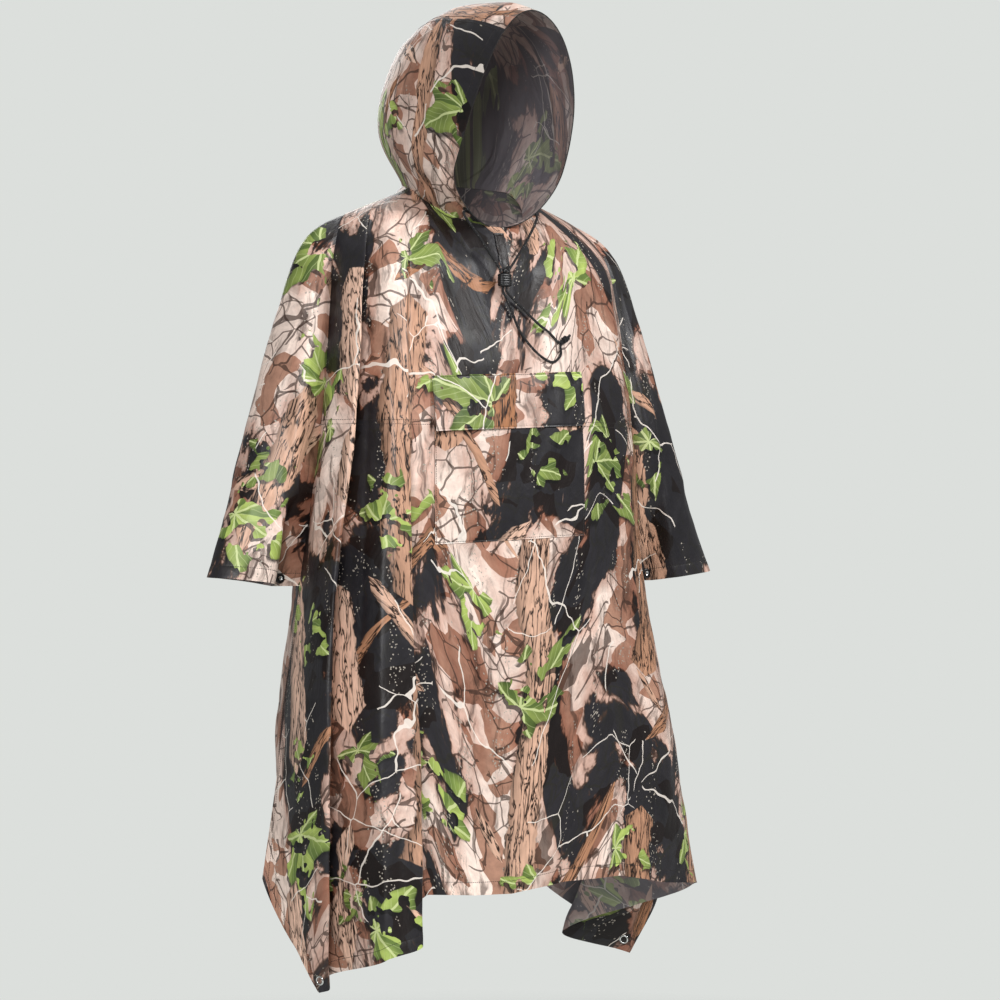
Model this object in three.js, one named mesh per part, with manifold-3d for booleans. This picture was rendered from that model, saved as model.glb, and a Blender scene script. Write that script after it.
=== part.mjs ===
// Hooded rain poncho, hanging as it is worn: open at the face, cuffs, sides and hem.
// Millimetres, +Z up. The front faces -Y and the wearer's right is -X.
// The origin is the centre of the neck at shoulder height.
import * as THREE from 'three';
import { mergeVertices } from 'three/addons/utils/BufferGeometryUtils.js';
import Module from 'manifold-3d';

// Cloth
const CLOTH = 1.5; // wall
const GAP = 0.3; // between pieces that touch
const NECK_INSET = 2.6; // keeps the hood and the body apart where they meet at an angle
const ARMHOLE_INSET = 1.8; // and the sleeves and the body
const TOP_SLOPE = { neck: 58, shoulder: 14 }; // how steeply the body leaves its top edge, in degrees

// Neckline, a dipped ellipse
const NECK = { halfWidth: 86, front: 114, back: 88, sideHeight: 22, frontDrop: 64, backRise: 16 };

// Heights where the table of folds gives the cloth's place
const LEVEL = { yoke: -120, chest: -330, cuff: -560, thigh: -830 };

// Overarm line from the side of the neck to the cuff, for the wearer's left; the right one is its mirror image.
// stand is how far the sleeve's front and back stand out from the arm.
const ARM_LINE = [
  { x: 86, y: 0, z: 22, stand: 0 },
  { x: 120, y: 0, z: 7, stand: 0 },
  { x: 155, y: 0, z: -7, stand: 0 },
  { x: 192, y: -2, z: -22, stand: 1 },
  { x: 232, y: -4, z: -40, stand: 6 },
  { x: 262, y: -6, z: -68, stand: 12 },
  { x: 281, y: -8, z: -106, stand: 17 },
  { x: 300, y: -10, z: -166, stand: 22 },
  { x: 318, y: -11, z: -220, stand: 27 },
  { x: 337, y: -13, z: -283, stand: 31 },
  { x: 361, y: -16, z: -356, stand: 36 },
  { x: 390, y: -20, z: -449, stand: 40 },
  { x: 426, y: -30, z: -552, stand: 42 },
];
const ARMHOLE_ROW = 3;
const CUFF_ROW = ARM_LINE.length - 1;
const SLEEVE_ROWS = [3.3, 3.6, 4, 4.6, 5.3, 6.2, 7.2, 8.2, 9.2, 10.2, 10.9, 11.3, 11.6, 11.8, 12];
const CUFF_SLOPE = 14; // the cuff's inner end hangs this much lower
const PINCH = { from: -410, to: -500, reach: 42, softness: 0.1 }; // the snap draws the cuff's two layers together

// Fold lines that run down the cloth, as x and y at each height, and the hem's own height. soft is 1 where the
// cloth is round and less at a crisp edge. On the front, top is degrees round the neck from the front centre, and
// beyond 90 it goes on as millimetres out along the shoulder.
const FRONT_FOLDS = [
  { name: 'right side', top: -196, soft: 0.6, yoke: [-238, -45], chest: [-262, -60],
    cuff: [-281, -29], thigh: [-299, 6], hem: [-325, 5, -990] },
  { name: 'right corner', top: -176, soft: 0.9, yoke: [-232, -80], chest: [-268, -100],
    cuff: [-288, -90], thigh: [-306, -76], hem: [-276, -78, -1148] },
  { name: 'side pleat edge', top: -154, soft: 0.5, yoke: [-221, -112], chest: [-248, -138],
    cuff: [-280, -140], thigh: [-294, -145], hem: [-267, -94, -1142] },
  { name: 'side pleat root', top: -142, soft: 0.5, yoke: [-212, -90], chest: [-240, -95],
    cuff: [-265, -90], thigh: [-280, -88], hem: [-254, -62, -1128] },
  { name: 'front pleat edge', top: -128, soft: 0.5, yoke: [-188, -122], chest: [-200, -155],
    cuff: [-219, -165], thigh: [-227, -178], hem: [-224, -185, -1092] },
  { name: 'front pleat inner edge', top: -112, soft: 0.45, yoke: [-158, -125], chest: [-174, -163],
    cuff: [-177, -178], thigh: [-171, -190], hem: [-174, -200, -1074] },
  { name: 'front pleat root', top: -104, soft: 0.5, yoke: [-148, -118], chest: [-166, -147],
    cuff: [-182, -148], thigh: [-184, -149], hem: [-186, -152, -1040] },
  { name: 'front right', top: -94, soft: 0.9, yoke: [-110, -127], chest: [-135, -152],
    cuff: [-140, -152], thigh: [-138, -153], hem: [-138, -150, -1008] },
  { name: 'pocket right', top: -46, soft: 1, yoke: [-58, -134], chest: [-68, -157],
    cuff: [-70, -158], thigh: [-70, -158], hem: [-66, -153, -1013] },
  { name: 'front centre', top: 0, soft: 1, yoke: [0, -137], chest: [0, -159],
    cuff: [0, -160], thigh: [0, -160], hem: [0, -154, -1015] },
  { name: 'pocket left', top: 46, soft: 1, yoke: [60, -133], chest: [70, -156],
    cuff: [76, -157], thigh: [84, -158], hem: [92, -154, -1003] },
  { name: 'front left', top: 92, soft: 1, yoke: [125, -121], chest: [145, -146],
    cuff: [165, -145], thigh: [178, -146], hem: [190, -148, -1001] },
  { name: 'left corner', top: 150, soft: 0.8, yoke: [205, -90], chest: [222, -112],
    cuff: [258, -100], thigh: [302, -112], hem: [287, -110, -1021] },
  { name: 'left wrap', top: 166, soft: 0.6, yoke: [225, -72], chest: [250, -88],
    cuff: [277, -75], thigh: [352, -45], hem: [404, -25, -1040] },
  { name: 'left turn', top: 178, soft: 0.4, yoke: [232, -62], chest: [257, -76],
    cuff: [284, -58], thigh: [328, 50], hem: [271, 150, -1127] },
  { name: 'left corner tip', top: 188, soft: 0.9, yoke: [236, -53], chest: [260, -68],
    cuff: [284, -43], thigh: [352, 48], hem: [356, 85, -1159] },
  { name: 'left side', top: 196, soft: 0.6, yoke: [238, -45], chest: [262, -60],
    cuff: [281, -29], thigh: [372, 34], hem: [391, 60, -1073] },
];
const BACK_FOLDS = [
  { name: 'left side', soft: 0.6, yoke: [238, 38], chest: [262, 42],
    cuff: [281, -23.5], thigh: [376, 30], hem: [384, 92, -1062] },
  { name: 'left corner tip', soft: 0.9, yoke: [228, 62], chest: [252, 72],
    cuff: [290, 22], thigh: [366, 66], hem: [352, 114, -1135] },
  { name: 'left corner', soft: 0.7, yoke: [208, 82], chest: [232, 95],
    cuff: [276, 76], thigh: [332, 114], hem: [312, 150, -1105] },
  { name: 'left pleat', soft: 0.9, yoke: [160, 95], chest: [182, 112],
    cuff: [220, 120], thigh: [252, 142], hem: [250, 180, -1050] },
  { name: 'left hollow', soft: 0.9, yoke: [92, 100], chest: [100, 112],
    cuff: [122, 112], thigh: [142, 122], hem: [150, 152, -1028] },
  { name: 'back centre', soft: 1, yoke: [0, 106], chest: [0, 119],
    cuff: [0, 122], thigh: [0, 138], hem: [0, 168, -1022] },
  { name: 'right hollow', soft: 0.9, yoke: [-92, 100], chest: [-98, 112],
    cuff: [-108, 110], thigh: [-116, 120], hem: [-108, 144, -1036] },
  { name: 'right pleat', soft: 0.9, yoke: [-160, 95], chest: [-180, 111],
    cuff: [-182, 112], thigh: [-206, 128], hem: [-190, 154, -1080] },
  { name: 'right corner', soft: 0.7, yoke: [-208, 82], chest: [-232, 95],
    cuff: [-236, 72], thigh: [-258, 86], hem: [-216, 100, -1110] },
  { name: 'right corner tip', soft: 0.9, yoke: [-230, 60], chest: [-254, 70],
    cuff: [-268, 14], thigh: [-284, 42], hem: [-238, 44, -1120] },
  { name: 'right side', soft: 0.6, yoke: [-238, 38], chest: [-262, 42],
    cuff: [-281, -23.5], thigh: [-290, 20], hem: [-268, -14, -985] },
];

const CRISP = { soft: 0.5, beside: 0.14 }; // folds that need columns beside their own, and how near

// Hood arches from the face opening to the nape. foot is degrees round the neckline and slope the climb from
// there, widest is the arch's widest point and top its highest one, as x, y, z, and bow how early it leans to it.
const HOOD_ARCHES = [
  { name: 'face opening', foot: 8, slope: 4, widest: [91, -148, 42], top: [0, -216, 262], bow: 2 },
  { name: 'brow', foot: 38, slope: 40, widest: [108, -114, 66], top: [0, -165, 278], bow: 1.8 },
  { name: 'front crown', foot: 62, slope: 58, widest: [121, -66, 100], top: [0, -95, 288], bow: 1.4 },
  { name: 'crown', foot: 80, slope: 62, widest: [127, -16, 122], top: [0, -20, 290], bow: 1.2 },
  { name: 'back crown', foot: 96, slope: 64, widest: [121, 30, 122], top: [0, 46, 258], bow: 1.2 },
  { name: 'upper back', foot: 112, slope: 68, widest: [106, 60, 104], top: [0, 86, 188], bow: 1.2 },
  { name: 'lower back', foot: 127, slope: 72, widest: [88, 68, 74], top: [0, 96, 108], bow: 1.2 },
  { name: 'nape', foot: 140 },
];
const HOOD_CHEEK = 0.35; // share of an arch below its widest point
const HOOD_SEAM = 0.78; // share of an arch where the side panel meets the crown strip

// What lies on the front
const POCKET = { left: -127, right: 123, top: -284, bottom: -500, tilt: 0.045, lift: 1.5 };
const FLAP = { top: -258, bottom: -338, rise: 0.25, flare: 6 };
const PLACKET = { left: -10, right: 5, top: -52, bottom: -110 };

// Hardware
const GROMMET = { bore: 4.2, barrel: 4.8, flange: 7.4, plate: 0.8, hole: 5.2, room: 0.5 };
const GROMMET_RISE = 0.055; // share of the last stretch of cloth between a corner and its grommet
const SNAP = { cap: 7.5, rim: 6.2, post: 2, hole: 2.4, thickness: 2.2, fromEnd: 27, rise: 11, room: 1.4 };
const EYELET = { bore: 2.6, outer: 5.6, thickness: 1.6, arch: 0.16, share: 0.13 };
const CORD_DIAMETER = 3.8;
const CORD_SIDES = 8;
const LOCK = { x: -10, y: -151, z: -122, width: 21, depth: 14, height: 20, button: 13, press: 6 };
const KNOT = { x: 95, z: -206, length: 13, radius: 4.6 };

// Routes of the drawcord below the lock: x, z and the height of the cord's centre above the cloth's middle.
const FREE_END_1 = [
  { x: -2, z: -158, lift: 9 },
  { x: 14, z: -193, lift: 5 },
  { x: 30, z: -214, lift: 4 },
  { x: 52, z: -233, lift: 4 },
  { x: 72, z: -240, lift: 4 },
  { x: 86, z: -229, lift: 4.5 },
];
const FREE_END_2 = [
  { x: 22, z: -163, lift: 7 },
  { x: 48, z: -184, lift: 5 },
  { x: 68, z: -197, lift: 4.5 },
];

const COLOURS = {
  print: { color: '#8a7464', roughness: 0.42, metalness: 0 },
  black: { color: '#17171a', roughness: 0.45, metalness: 0 },
  steel: { color: '#c9cbcc', roughness: 0.25, metalness: 1 },
};

const radians = THREE.MathUtils.degToRad;
const point = (x, y, z) => new THREE.Vector3(x, y, z);
const poncho = new THREE.Group();

function addPiece(name, geometry, finish) {
  const piece = new THREE.Mesh(geometry, new THREE.MeshStandardMaterial(COLOURS[finish]));
  piece.name = name;
  poncho.add(piece);
}

// Smooth curves through short lists

function headingAt(points, i) {
  const before = points[Math.max(i - 1, 0)];
  const after = points[Math.min(i + 1, points.length - 1)];
  return after.clone().sub(before).normalize();
}

// Place at t on a curve through the points, counted in points; softness rounds each point over.
function along(points, softness, t) {
  const i = THREE.MathUtils.clamp(Math.floor(t), 0, points.length - 2);
  const f = t - i;
  const start = points[i];
  const end = points[i + 1];
  const leave = headingAt(points, i).multiplyScalar(softness[i]);
  const arrive = headingAt(points, i + 1).multiplyScalar(softness[i + 1]);
  return bend(start, leave, end, arrive, f);
}

// Place at f, from 0 to 1, on a curve that leaves one point and arrives at another along given directions.
function bend(start, leave, end, arrive, f) {
  const chord = start.distanceTo(end);
  return point(0, 0, 0)
    .addScaledVector(start, 2 * f ** 3 - 3 * f ** 2 + 1)
    .addScaledVector(leave, chord * (f ** 3 - 2 * f ** 2 + f))
    .addScaledVector(end, 3 * f ** 2 - 2 * f ** 3)
    .addScaledVector(arrive, chord * (f ** 3 - f ** 2));
}

// The level direction of a vector, tilted up by some degrees.
function sloping(vector, degrees) {
  const level = point(vector.x, vector.y, 0).normalize();
  return level.multiplyScalar(Math.cos(radians(degrees))).add(point(0, 0, Math.sin(radians(degrees))));
}

function between(values, t) {
  const i = THREE.MathUtils.clamp(Math.floor(t), 0, values.length - 2);
  return THREE.MathUtils.lerp(values[i], values[i + 1], t - i);
}

// Solves place(t) = goal for a place that only falls or only rises between low and high.
function solve(place, goal, low, high) {
  const rising = place(high) > place(low);
  for (let step = 0; step < 32; step += 1) {
    const middle = (low + high) / 2;
    if (place(middle) < goal === rising) {
      low = middle;
    } else {
      high = middle;
    }
  }
  return (low + high) / 2;
}

// Neckline, and the body's top edge that runs on from it along the shoulders

function neckEdge(degrees) {
  const ahead = Math.cos(radians(degrees));
  const depth = ahead > 0 ? NECK.front : NECK.back;
  const fall = ahead > 0 ? NECK.frontDrop : NECK.backRise;
  return point(NECK.halfWidth * Math.sin(radians(degrees)), -depth * ahead, NECK.sideHeight - fall * ahead);
}

const armPoints = ARM_LINE.map((row) => point(row.x, row.y, row.z));
const armSoftness = ARM_LINE.map(() => 1);

function armLine(row, side) {
  const place = along(armPoints, armSoftness, row);
  return point(place.x * side, place.y, place.z);
}

function shoulderEdge(distance, side) {
  const row = solve((t) => along(armPoints, armSoftness, t).x, NECK.halfWidth + distance, 0, ARMHOLE_ROW + 1);
  return armLine(row, side);
}

function frontTop(top) {
  const beyond = Math.abs(top) - 90;
  return beyond > 0 ? shoulderEdge(beyond, Math.sign(top)) : neckEdge(top);
}

// The back's top edge from armhole to armhole, share 0 to 1: shoulder, round the nape, shoulder.
const BACK_SHOULDER = 0.35;

function backTop(share) {
  const reach = ARM_LINE[ARMHOLE_ROW].x - NECK.halfWidth;
  if (share < BACK_SHOULDER) {
    return shoulderEdge(reach * (1 - share / BACK_SHOULDER), 1);
  }
  if (share > 1 - BACK_SHOULDER) {
    return shoulderEdge(reach * (1 - (1 - share) / BACK_SHOULDER), -1);
  }
  const round = (share - BACK_SHOULDER) / (1 - 2 * BACK_SHOULDER);
  return neckEdge(90 + 180 * round);
}

// Body cloth as a surface: across counts fold lines, down counts heights from the top edge to the hem.

function foldSurface(folds, topEdge) {
  const softness = folds.map((fold) => fold.soft);
  const levels = ['yoke', 'chest', 'cuff', 'thigh', 'hem'].map((level) => ({
    places: folds.map((fold) => point(fold[level][0], fold[level][1], 0)),
    heights: folds.map((fold) => LEVEL[level] ?? fold[level][2]),
  }));
  return (across, down) => {
    const column = levels.map((level) => {
      const place = along(level.places, softness, across);
      return point(place.x, place.y, between(level.heights, across));
    });
    if (down < 1) {
      const top = topEdge(across);
      const level = Math.abs(top.y) / NECK.back;
      const slope = THREE.MathUtils.lerp(TOP_SLOPE.shoulder, TOP_SLOPE.neck, Math.min(1, level));
      const leave = sloping(column[0].clone().sub(top), -slope);
      const arrive = column[1].clone().sub(column[0]).normalize();
      return bend(top, leave, column[0], arrive, down);
    }
    return along(column, column.map(() => 1), down - 1);
  };
}

const frontTops = FRONT_FOLDS.map((fold) => fold.top);
const frontSurface = foldSurface(FRONT_FOLDS, (across) => frontTop(between(frontTops, across)));
const backSurface = foldSurface(BACK_FOLDS, (across) => backTop(across / (BACK_FOLDS.length - 1)));
const HEM_ROW = 5;
const CUFF_LEVEL = 3;

// Sleeve as a surface: across runs round the arm from one side edge of the body to the other.

function edgeAtHeight(surface, across, height) {
  const down = solve((t) => surface(across, t).z, height, 0, CUFF_LEVEL + 0.5);
  return surface(across, down);
}

function sleeveSurface(side) {
  const frontEdge = side > 0 ? FRONT_FOLDS.length - 1 : 0;
  const backEdge = side > 0 ? 0 : BACK_FOLDS.length - 1;
  const stands = ARM_LINE.map((row) => row.stand);
  return (across, row) => {
    const crest = armLine(row, side);
    const share = (row - ARMHOLE_ROW) / (CUFF_ROW - ARMHOLE_ROW);
    const innerHeight = crest.z - CUFF_SLOPE * share ** 2;
    const stand = between(stands, row);
    const drawn = THREE.MathUtils.smoothstep(-innerHeight, -PINCH.from, -PINCH.to);
    const half = (edge, outward) => {
      const middle = edge.clone().lerp(crest, 0.5).add(point(0, outward * stand, 0));
      const near = edge.clone().lerp(crest, 0.22).add(point(0, outward * stand * 0.62, 0));
      const shut = edge.clone().add(point(side * PINCH.reach, outward * 0.1, 0));
      return [edge, near.lerp(shut, drawn), middle];
    };
    const front = half(edgeAtHeight(frontSurface, frontEdge, innerHeight), -1);
    const back = half(edgeAtHeight(backSurface, backEdge, innerHeight), 1);
    const ring = side > 0 ? [...front, crest, ...back.reverse()] : [...back, crest, ...front.reverse()];
    const free = THREE.MathUtils.lerp(0.6, PINCH.softness, drawn);
    return along(ring, [1, free, 1, 1, 1, free, 1], across);
  };
}

// Hood as a surface: across runs from the left foot over the top to the right foot, back from face to nape.

function archPoint(arch, share) {
  if (!arch.top) {
    return neckEdge(THREE.MathUtils.lerp(arch.foot, 180, share));
  }
  const widest = point(...arch.widest);
  const top = point(...arch.top);
  if (share < HOOD_CHEEK) {
    const foot = neckEdge(arch.foot);
    const arrive = point(0, (top.y - widest.y) * arch.bow, top.z - widest.z).normalize();
    return bend(foot, sloping(widest.clone().sub(foot), arch.slope), widest, arrive, share / HOOD_CHEEK);
  }
  const turn = (((share - HOOD_CHEEK) / (1 - HOOD_CHEEK)) * Math.PI) / 2;
  const rise = Math.sin(turn);
  return point(
    widest.x * Math.cos(turn),
    THREE.MathUtils.lerp(widest.y, top.y, 1 - (1 - rise) ** arch.bow),
    THREE.MathUtils.lerp(widest.z, top.z, rise),
  );
}

function hoodSurface(across, back) {
  const side = across < 1 ? 1 : -1;
  const share = across < 1 ? across : 2 - across;
  const points = HOOD_ARCHES.map((arch) => archPoint(arch, share));
  const place = along(points, points.map(() => 1), back);
  return point(place.x * side, place.y, place.z);
}

// Walls

const STEP = 0.01;

function outwardAt(surface, across, down) {
  const acrossStep = surface(across + STEP, down).sub(surface(across - STEP, down));
  const downStep = surface(across, down + STEP).sub(surface(across, down - STEP));
  return downStep.cross(acrossStep).normalize();
}

function speedAcross(surface, across, down) {
  return surface(across + STEP, down).distanceTo(surface(across - STEP, down)) / (2 * STEP);
}

function speedDown(surface, across, down) {
  return surface(across, down + STEP).distanceTo(surface(across, down - STEP)) / (2 * STEP);
}

function evenly(from, to, parts) {
  return Array.from({ length: parts + 1 }, (_, i) => THREE.MathUtils.lerp(from, to, i / parts));
}

// Columns at each fold line and halfway to the next, and close on both sides of a crisp one.
function foldColumns(folds) {
  const columns = evenly(0, folds.length - 1, (folds.length - 1) * 2);
  folds.forEach((fold, i) => {
    if (fold.soft <= CRISP.soft) {
      columns.push(i - CRISP.beside, i + CRISP.beside);
    }
  });
  return columns.sort((a, b) => a - b);
}

// The place of item i in a list whose two ends are drawn in by some millimetres each.
function drawnIn(list, i, inset, speedAt) {
  const first = list[0];
  const last = list[list.length - 1];
  const start = first + inset[0] / Math.max(speedAt(first), 1);
  const end = last - inset[1] / Math.max(speedAt(last), 1);
  return THREE.MathUtils.mapLinear(list[i], first, last, start, end);
}

// A closed sheet of cloth over a surface, with a corner at each place of the lists across and down.
// inset draws each edge in: [start, end] across and down.
function clothWall(surface, { across, down, insetAcross = [0, 0], insetDown = [0, 0], lift = () => 0 }) {
  const columns = across.length - 1;
  const rows = down.length - 1;
  const outer = [];
  const inner = [];
  for (let j = 0; j <= rows; j += 1) {
    const outerRow = [];
    const innerRow = [];
    for (let i = 0; i <= columns; i += 1) {
      const a = drawnIn(across, i, insetAcross, (end) => speedAcross(surface, end, down[j]));
      const d = drawnIn(down, j, insetDown, (end) => speedDown(surface, across[i], end));
      const place = surface(a, d);
      const outward = outwardAt(surface, a, d);
      const out = lift(i / columns, j / rows);
      outerRow.push(place.clone().addScaledVector(outward, out + CLOTH / 2));
      innerRow.push(place.clone().addScaledVector(outward, out - CLOTH / 2));
    }
    outer.push(outerRow);
    inner.push(innerRow);
  }
  return closedSheet(outer, inner);
}

function closedSheet(outer, inner) {
  const rows = outer.length - 1;
  const columns = outer[0].length - 1;
  const places = [...outer.flat(), ...inner.flat()];
  const out = (i, j) => j * (columns + 1) + i;
  const inn = (i, j) => outer.length * (columns + 1) + out(i, j);
  const faces = [];
  const quad = (a, b, c, d) => faces.push(a, b, c, a, c, d);
  for (let j = 0; j < rows; j += 1) {
    for (let i = 0; i < columns; i += 1) {
      quad(out(i, j), out(i, j + 1), out(i + 1, j + 1), out(i + 1, j));
      quad(inn(i, j), inn(i + 1, j), inn(i + 1, j + 1), inn(i, j + 1));
    }
    quad(out(0, j), inn(0, j), inn(0, j + 1), out(0, j + 1));
    quad(out(columns, j), out(columns, j + 1), inn(columns, j + 1), inn(columns, j));
  }
  for (let i = 0; i < columns; i += 1) {
    quad(out(i, 0), out(i + 1, 0), inn(i + 1, 0), inn(i, 0));
    quad(out(i, rows), inn(i, rows), inn(i + 1, rows), out(i + 1, rows));
  }
  const geometry = new THREE.BufferGeometry().setFromPoints(places);
  geometry.setIndex(faces);
  return geometry;
}

// Cuts and placing

const wasm = await Module();
wasm.setup();

function toSolid(geometry) {
  const bare = geometry.clone();
  bare.deleteAttribute('normal');
  bare.deleteAttribute('uv');
  const merged = mergeVertices(bare, 1e-4);
  const vertProperties = new Float32Array(merged.attributes.position.array);
  const triVerts = new Uint32Array(merged.index.array);
  return new wasm.Manifold(new wasm.Mesh({ numProp: 3, vertProperties, triVerts }));
}

function toGeometry(solid) {
  const mesh = solid.getMesh();
  const geometry = new THREE.BufferGeometry();
  geometry.setAttribute('position', new THREE.BufferAttribute(mesh.vertProperties, 3));
  geometry.setIndex(new THREE.BufferAttribute(mesh.triVerts, 1));
  return geometry;
}

// Stands a geometry made along +Y at a place, with its +Y along the given direction.
function stand(geometry, place, direction) {
  const turn = new THREE.Quaternion().setFromUnitVectors(point(0, 1, 0), direction);
  geometry.applyQuaternion(turn);
  geometry.translate(place.x, place.y, place.z);
  return geometry;
}

function punched(geometry, holes) {
  let solid = toSolid(geometry);
  for (const hole of holes) {
    const drill = stand(new THREE.CylinderGeometry(hole.radius, hole.radius, 12, 16), hole.place, hole.outward);
    solid = solid.subtract(toSolid(drill));
  }
  return toGeometry(solid);
}

function turned(profile, segments) {
  return new THREE.LatheGeometry(profile.map(([r, h]) => new THREE.Vector2(r, h)), segments);
}

// Body

function seatOn(surface, across, down, radius) {
  return { place: surface(across, down), outward: outwardAt(surface, across, down), radius };
}

const SEAM_ROW = 2;
const seamInset = GAP / 2;
const lastFront = FRONT_FOLDS.length - 1;
const lastBack = BACK_FOLDS.length - 1;
const cornerRow = HEM_ROW - GROMMET_RISE;
const corners = {
  front_right: seatOn(frontSurface, 1.2, cornerRow, GROMMET.hole),
  front_left: seatOn(frontSurface, lastFront - 1.1, cornerRow, GROMMET.hole),
  back_left: seatOn(backSurface, 1.2, cornerRow, GROMMET.hole),
  back_right: seatOn(backSurface, lastBack - 1.2, cornerRow, GROMMET.hole),
};

const frontUpper = clothWall(frontSurface, {
  across: foldColumns(FRONT_FOLDS),
  down: evenly(0, SEAM_ROW, 8),
  insetAcross: [ARMHOLE_INSET, ARMHOLE_INSET],
  insetDown: [NECK_INSET, seamInset],
});
addPiece('front_upper', frontUpper, 'print');

const frontLower = clothWall(frontSurface, {
  across: foldColumns(FRONT_FOLDS),
  down: evenly(SEAM_ROW, HEM_ROW, 12),
  insetAcross: [ARMHOLE_INSET, ARMHOLE_INSET],
  insetDown: [seamInset, 0],
});
addPiece('front_lower', punched(frontLower, [corners.front_right, corners.front_left]), 'print');

const back = clothWall(backSurface, {
  across: evenly(0, lastBack, lastBack * 3),
  down: evenly(0, HEM_ROW, 18),
  insetAcross: [ARMHOLE_INSET, ARMHOLE_INSET],
  insetDown: [NECK_INSET, 0],
});
addPiece('back', punched(back, [corners.back_left, corners.back_right]), 'print');

// Sleeves, with a snap through both layers of each cuff

function snapSeat(surface, side) {
  const row = CUFF_ROW - SNAP.rise / Math.abs(armLine(CUFF_ROW, 1).z - armLine(CUFF_ROW - 1, 1).z);
  const crossing = side > 0 ? [0, 1, 5, 6] : [6, 5, 1, 0];
  const frontShare = SNAP.fromEnd / PINCH.reach;
  const front = surface(THREE.MathUtils.lerp(crossing[0], crossing[1], frontShare), row);
  const rear = surface(THREE.MathUtils.lerp(crossing[3], crossing[2], frontShare), row);
  const frontOut = outwardAt(surface, THREE.MathUtils.lerp(crossing[0], crossing[1], frontShare), row);
  const rearOut = outwardAt(surface, THREE.MathUtils.lerp(crossing[3], crossing[2], frontShare), row);
  const outward = frontOut.sub(rearOut).normalize();
  return { front, rear, place: front.clone().lerp(rear, 0.5), outward, radius: SNAP.hole };
}

for (const [name, side] of [['sleeve_right', -1], ['sleeve_left', 1]]) {
  const surface = sleeveSurface(side);
  const sleeve = clothWall(surface, {
    across: evenly(0, 6, 18),
    down: SLEEVE_ROWS,
    insetAcross: [ARMHOLE_INSET, ARMHOLE_INSET],
    insetDown: [seamInset, 0],
  });
  const seat = snapSeat(surface, side);
  addPiece(name, punched(sleeve, [seat]), 'print');
  const inside = seat.front.distanceTo(seat.rear) / 2 + CLOTH / 2 + SNAP.room;
  const face = inside + SNAP.thickness;
  const snap = turned([
    [0, -face], [SNAP.rim, -face], [SNAP.cap, -inside - 0.6], [SNAP.cap, -inside], [SNAP.post, -inside],
    [SNAP.post, inside], [SNAP.cap, inside], [SNAP.cap, inside + 0.6], [SNAP.rim, face], [0, face],
  ], 16);
  addPiece(name.replace('sleeve', 'cuff_snap'), stand(snap, seat.place, seat.outward), 'black');
}

// Hood

const HOOD_PANELS = [
  { name: 'hood_left', across: evenly(0, HOOD_SEAM, 9) },
  { name: 'hood_crown', across: evenly(HOOD_SEAM, 2 - HOOD_SEAM, 6) },
  { name: 'hood_right', across: evenly(2 - HOOD_SEAM, 2, 9) },
];
for (const panel of HOOD_PANELS) {
  const hood = clothWall(hoodSurface, {
    across: panel.across,
    down: evenly(0, HOOD_ARCHES.length - 1, 14),
    insetAcross: [
      panel.name === 'hood_left' ? NECK_INSET : seamInset,
      panel.name === 'hood_right' ? NECK_INSET : seamInset,
    ],
    insetDown: [0, NECK_INSET],
  });
  addPiece(panel.name, hood, 'print');
}

// Pocket, flap and placket, each made from the front's own points and moved out

function onFront(x, z) {
  let across = 9;
  let down = 2;
  for (let pass = 0; pass < 5; pass += 1) {
    const row = down;
    across = solve((t) => frontSurface(t, row).x, x, 7, 12);
    const column = across;
    down = solve((t) => frontSurface(column, t).z, z, 0.05, 4);
  }
  return { across, down };
}

function patch(name, place, columns, rows, lift) {
  const surface = (u, v) => {
    const spot = onFront(place.x(u, v), place.z(u, v));
    return frontSurface(spot.across, spot.down);
  };
  const sheet = clothWall(surface, { across: evenly(0, 1, columns), down: evenly(0, 1, rows), lift });
  addPiece(name, sheet, 'print');
}

const layer = CLOTH + GAP;
const pocketX = (u) => THREE.MathUtils.lerp(POCKET.left, POCKET.right, u);
const pocketZ = (u, height) => height + POCKET.tilt * pocketX(u);
const puff = (u, v) => Math.sin(Math.PI * u) * Math.sin(Math.PI * v);
patch('pocket', {
  x: (u) => pocketX(u),
  z: (u, v) => pocketZ(u, THREE.MathUtils.lerp(POCKET.top, POCKET.bottom, v)),
}, 12, 8, (u, v) => layer + POCKET.lift * puff(u, v));
patch('pocket_flap', {
  x: (u) => pocketX(u) + 4 * (u - 0.5),
  z: (u, v) => pocketZ(u, THREE.MathUtils.lerp(FLAP.top, FLAP.bottom, v)),
}, 12, 4, (u, v) => layer + FLAP.rise + layer * Math.min(1, v * 4) + FLAP.flare * v * v * (1 - u) ** 2);
patch('neck_placket', {
  x: (u) => THREE.MathUtils.lerp(PLACKET.left, PLACKET.right, u),
  z: (u, v) => THREE.MathUtils.lerp(PLACKET.top, PLACKET.bottom, v),
}, 2, 5, () => layer);

// Grommets in the four corners of the hem

for (const [name, seat] of Object.entries(corners)) {
  const inside = CLOTH / 2 + GROMMET.room;
  const face = inside + GROMMET.plate;
  const ring = turned([
    [GROMMET.bore, -face], [GROMMET.flange - 0.5, -face], [GROMMET.flange, -inside], [GROMMET.barrel, -inside],
    [GROMMET.barrel, inside], [GROMMET.flange, inside], [GROMMET.flange - 0.5, face], [GROMMET.bore, face],
    [GROMMET.bore, -face],
  ], 16);
  addPiece(`grommet_${name}`, stand(ring, seat.place, seat.outward), 'steel');
}

// Drawcord: an eyelet on each side of the face opening, two strands into the lock and two free ends to a knot

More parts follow.
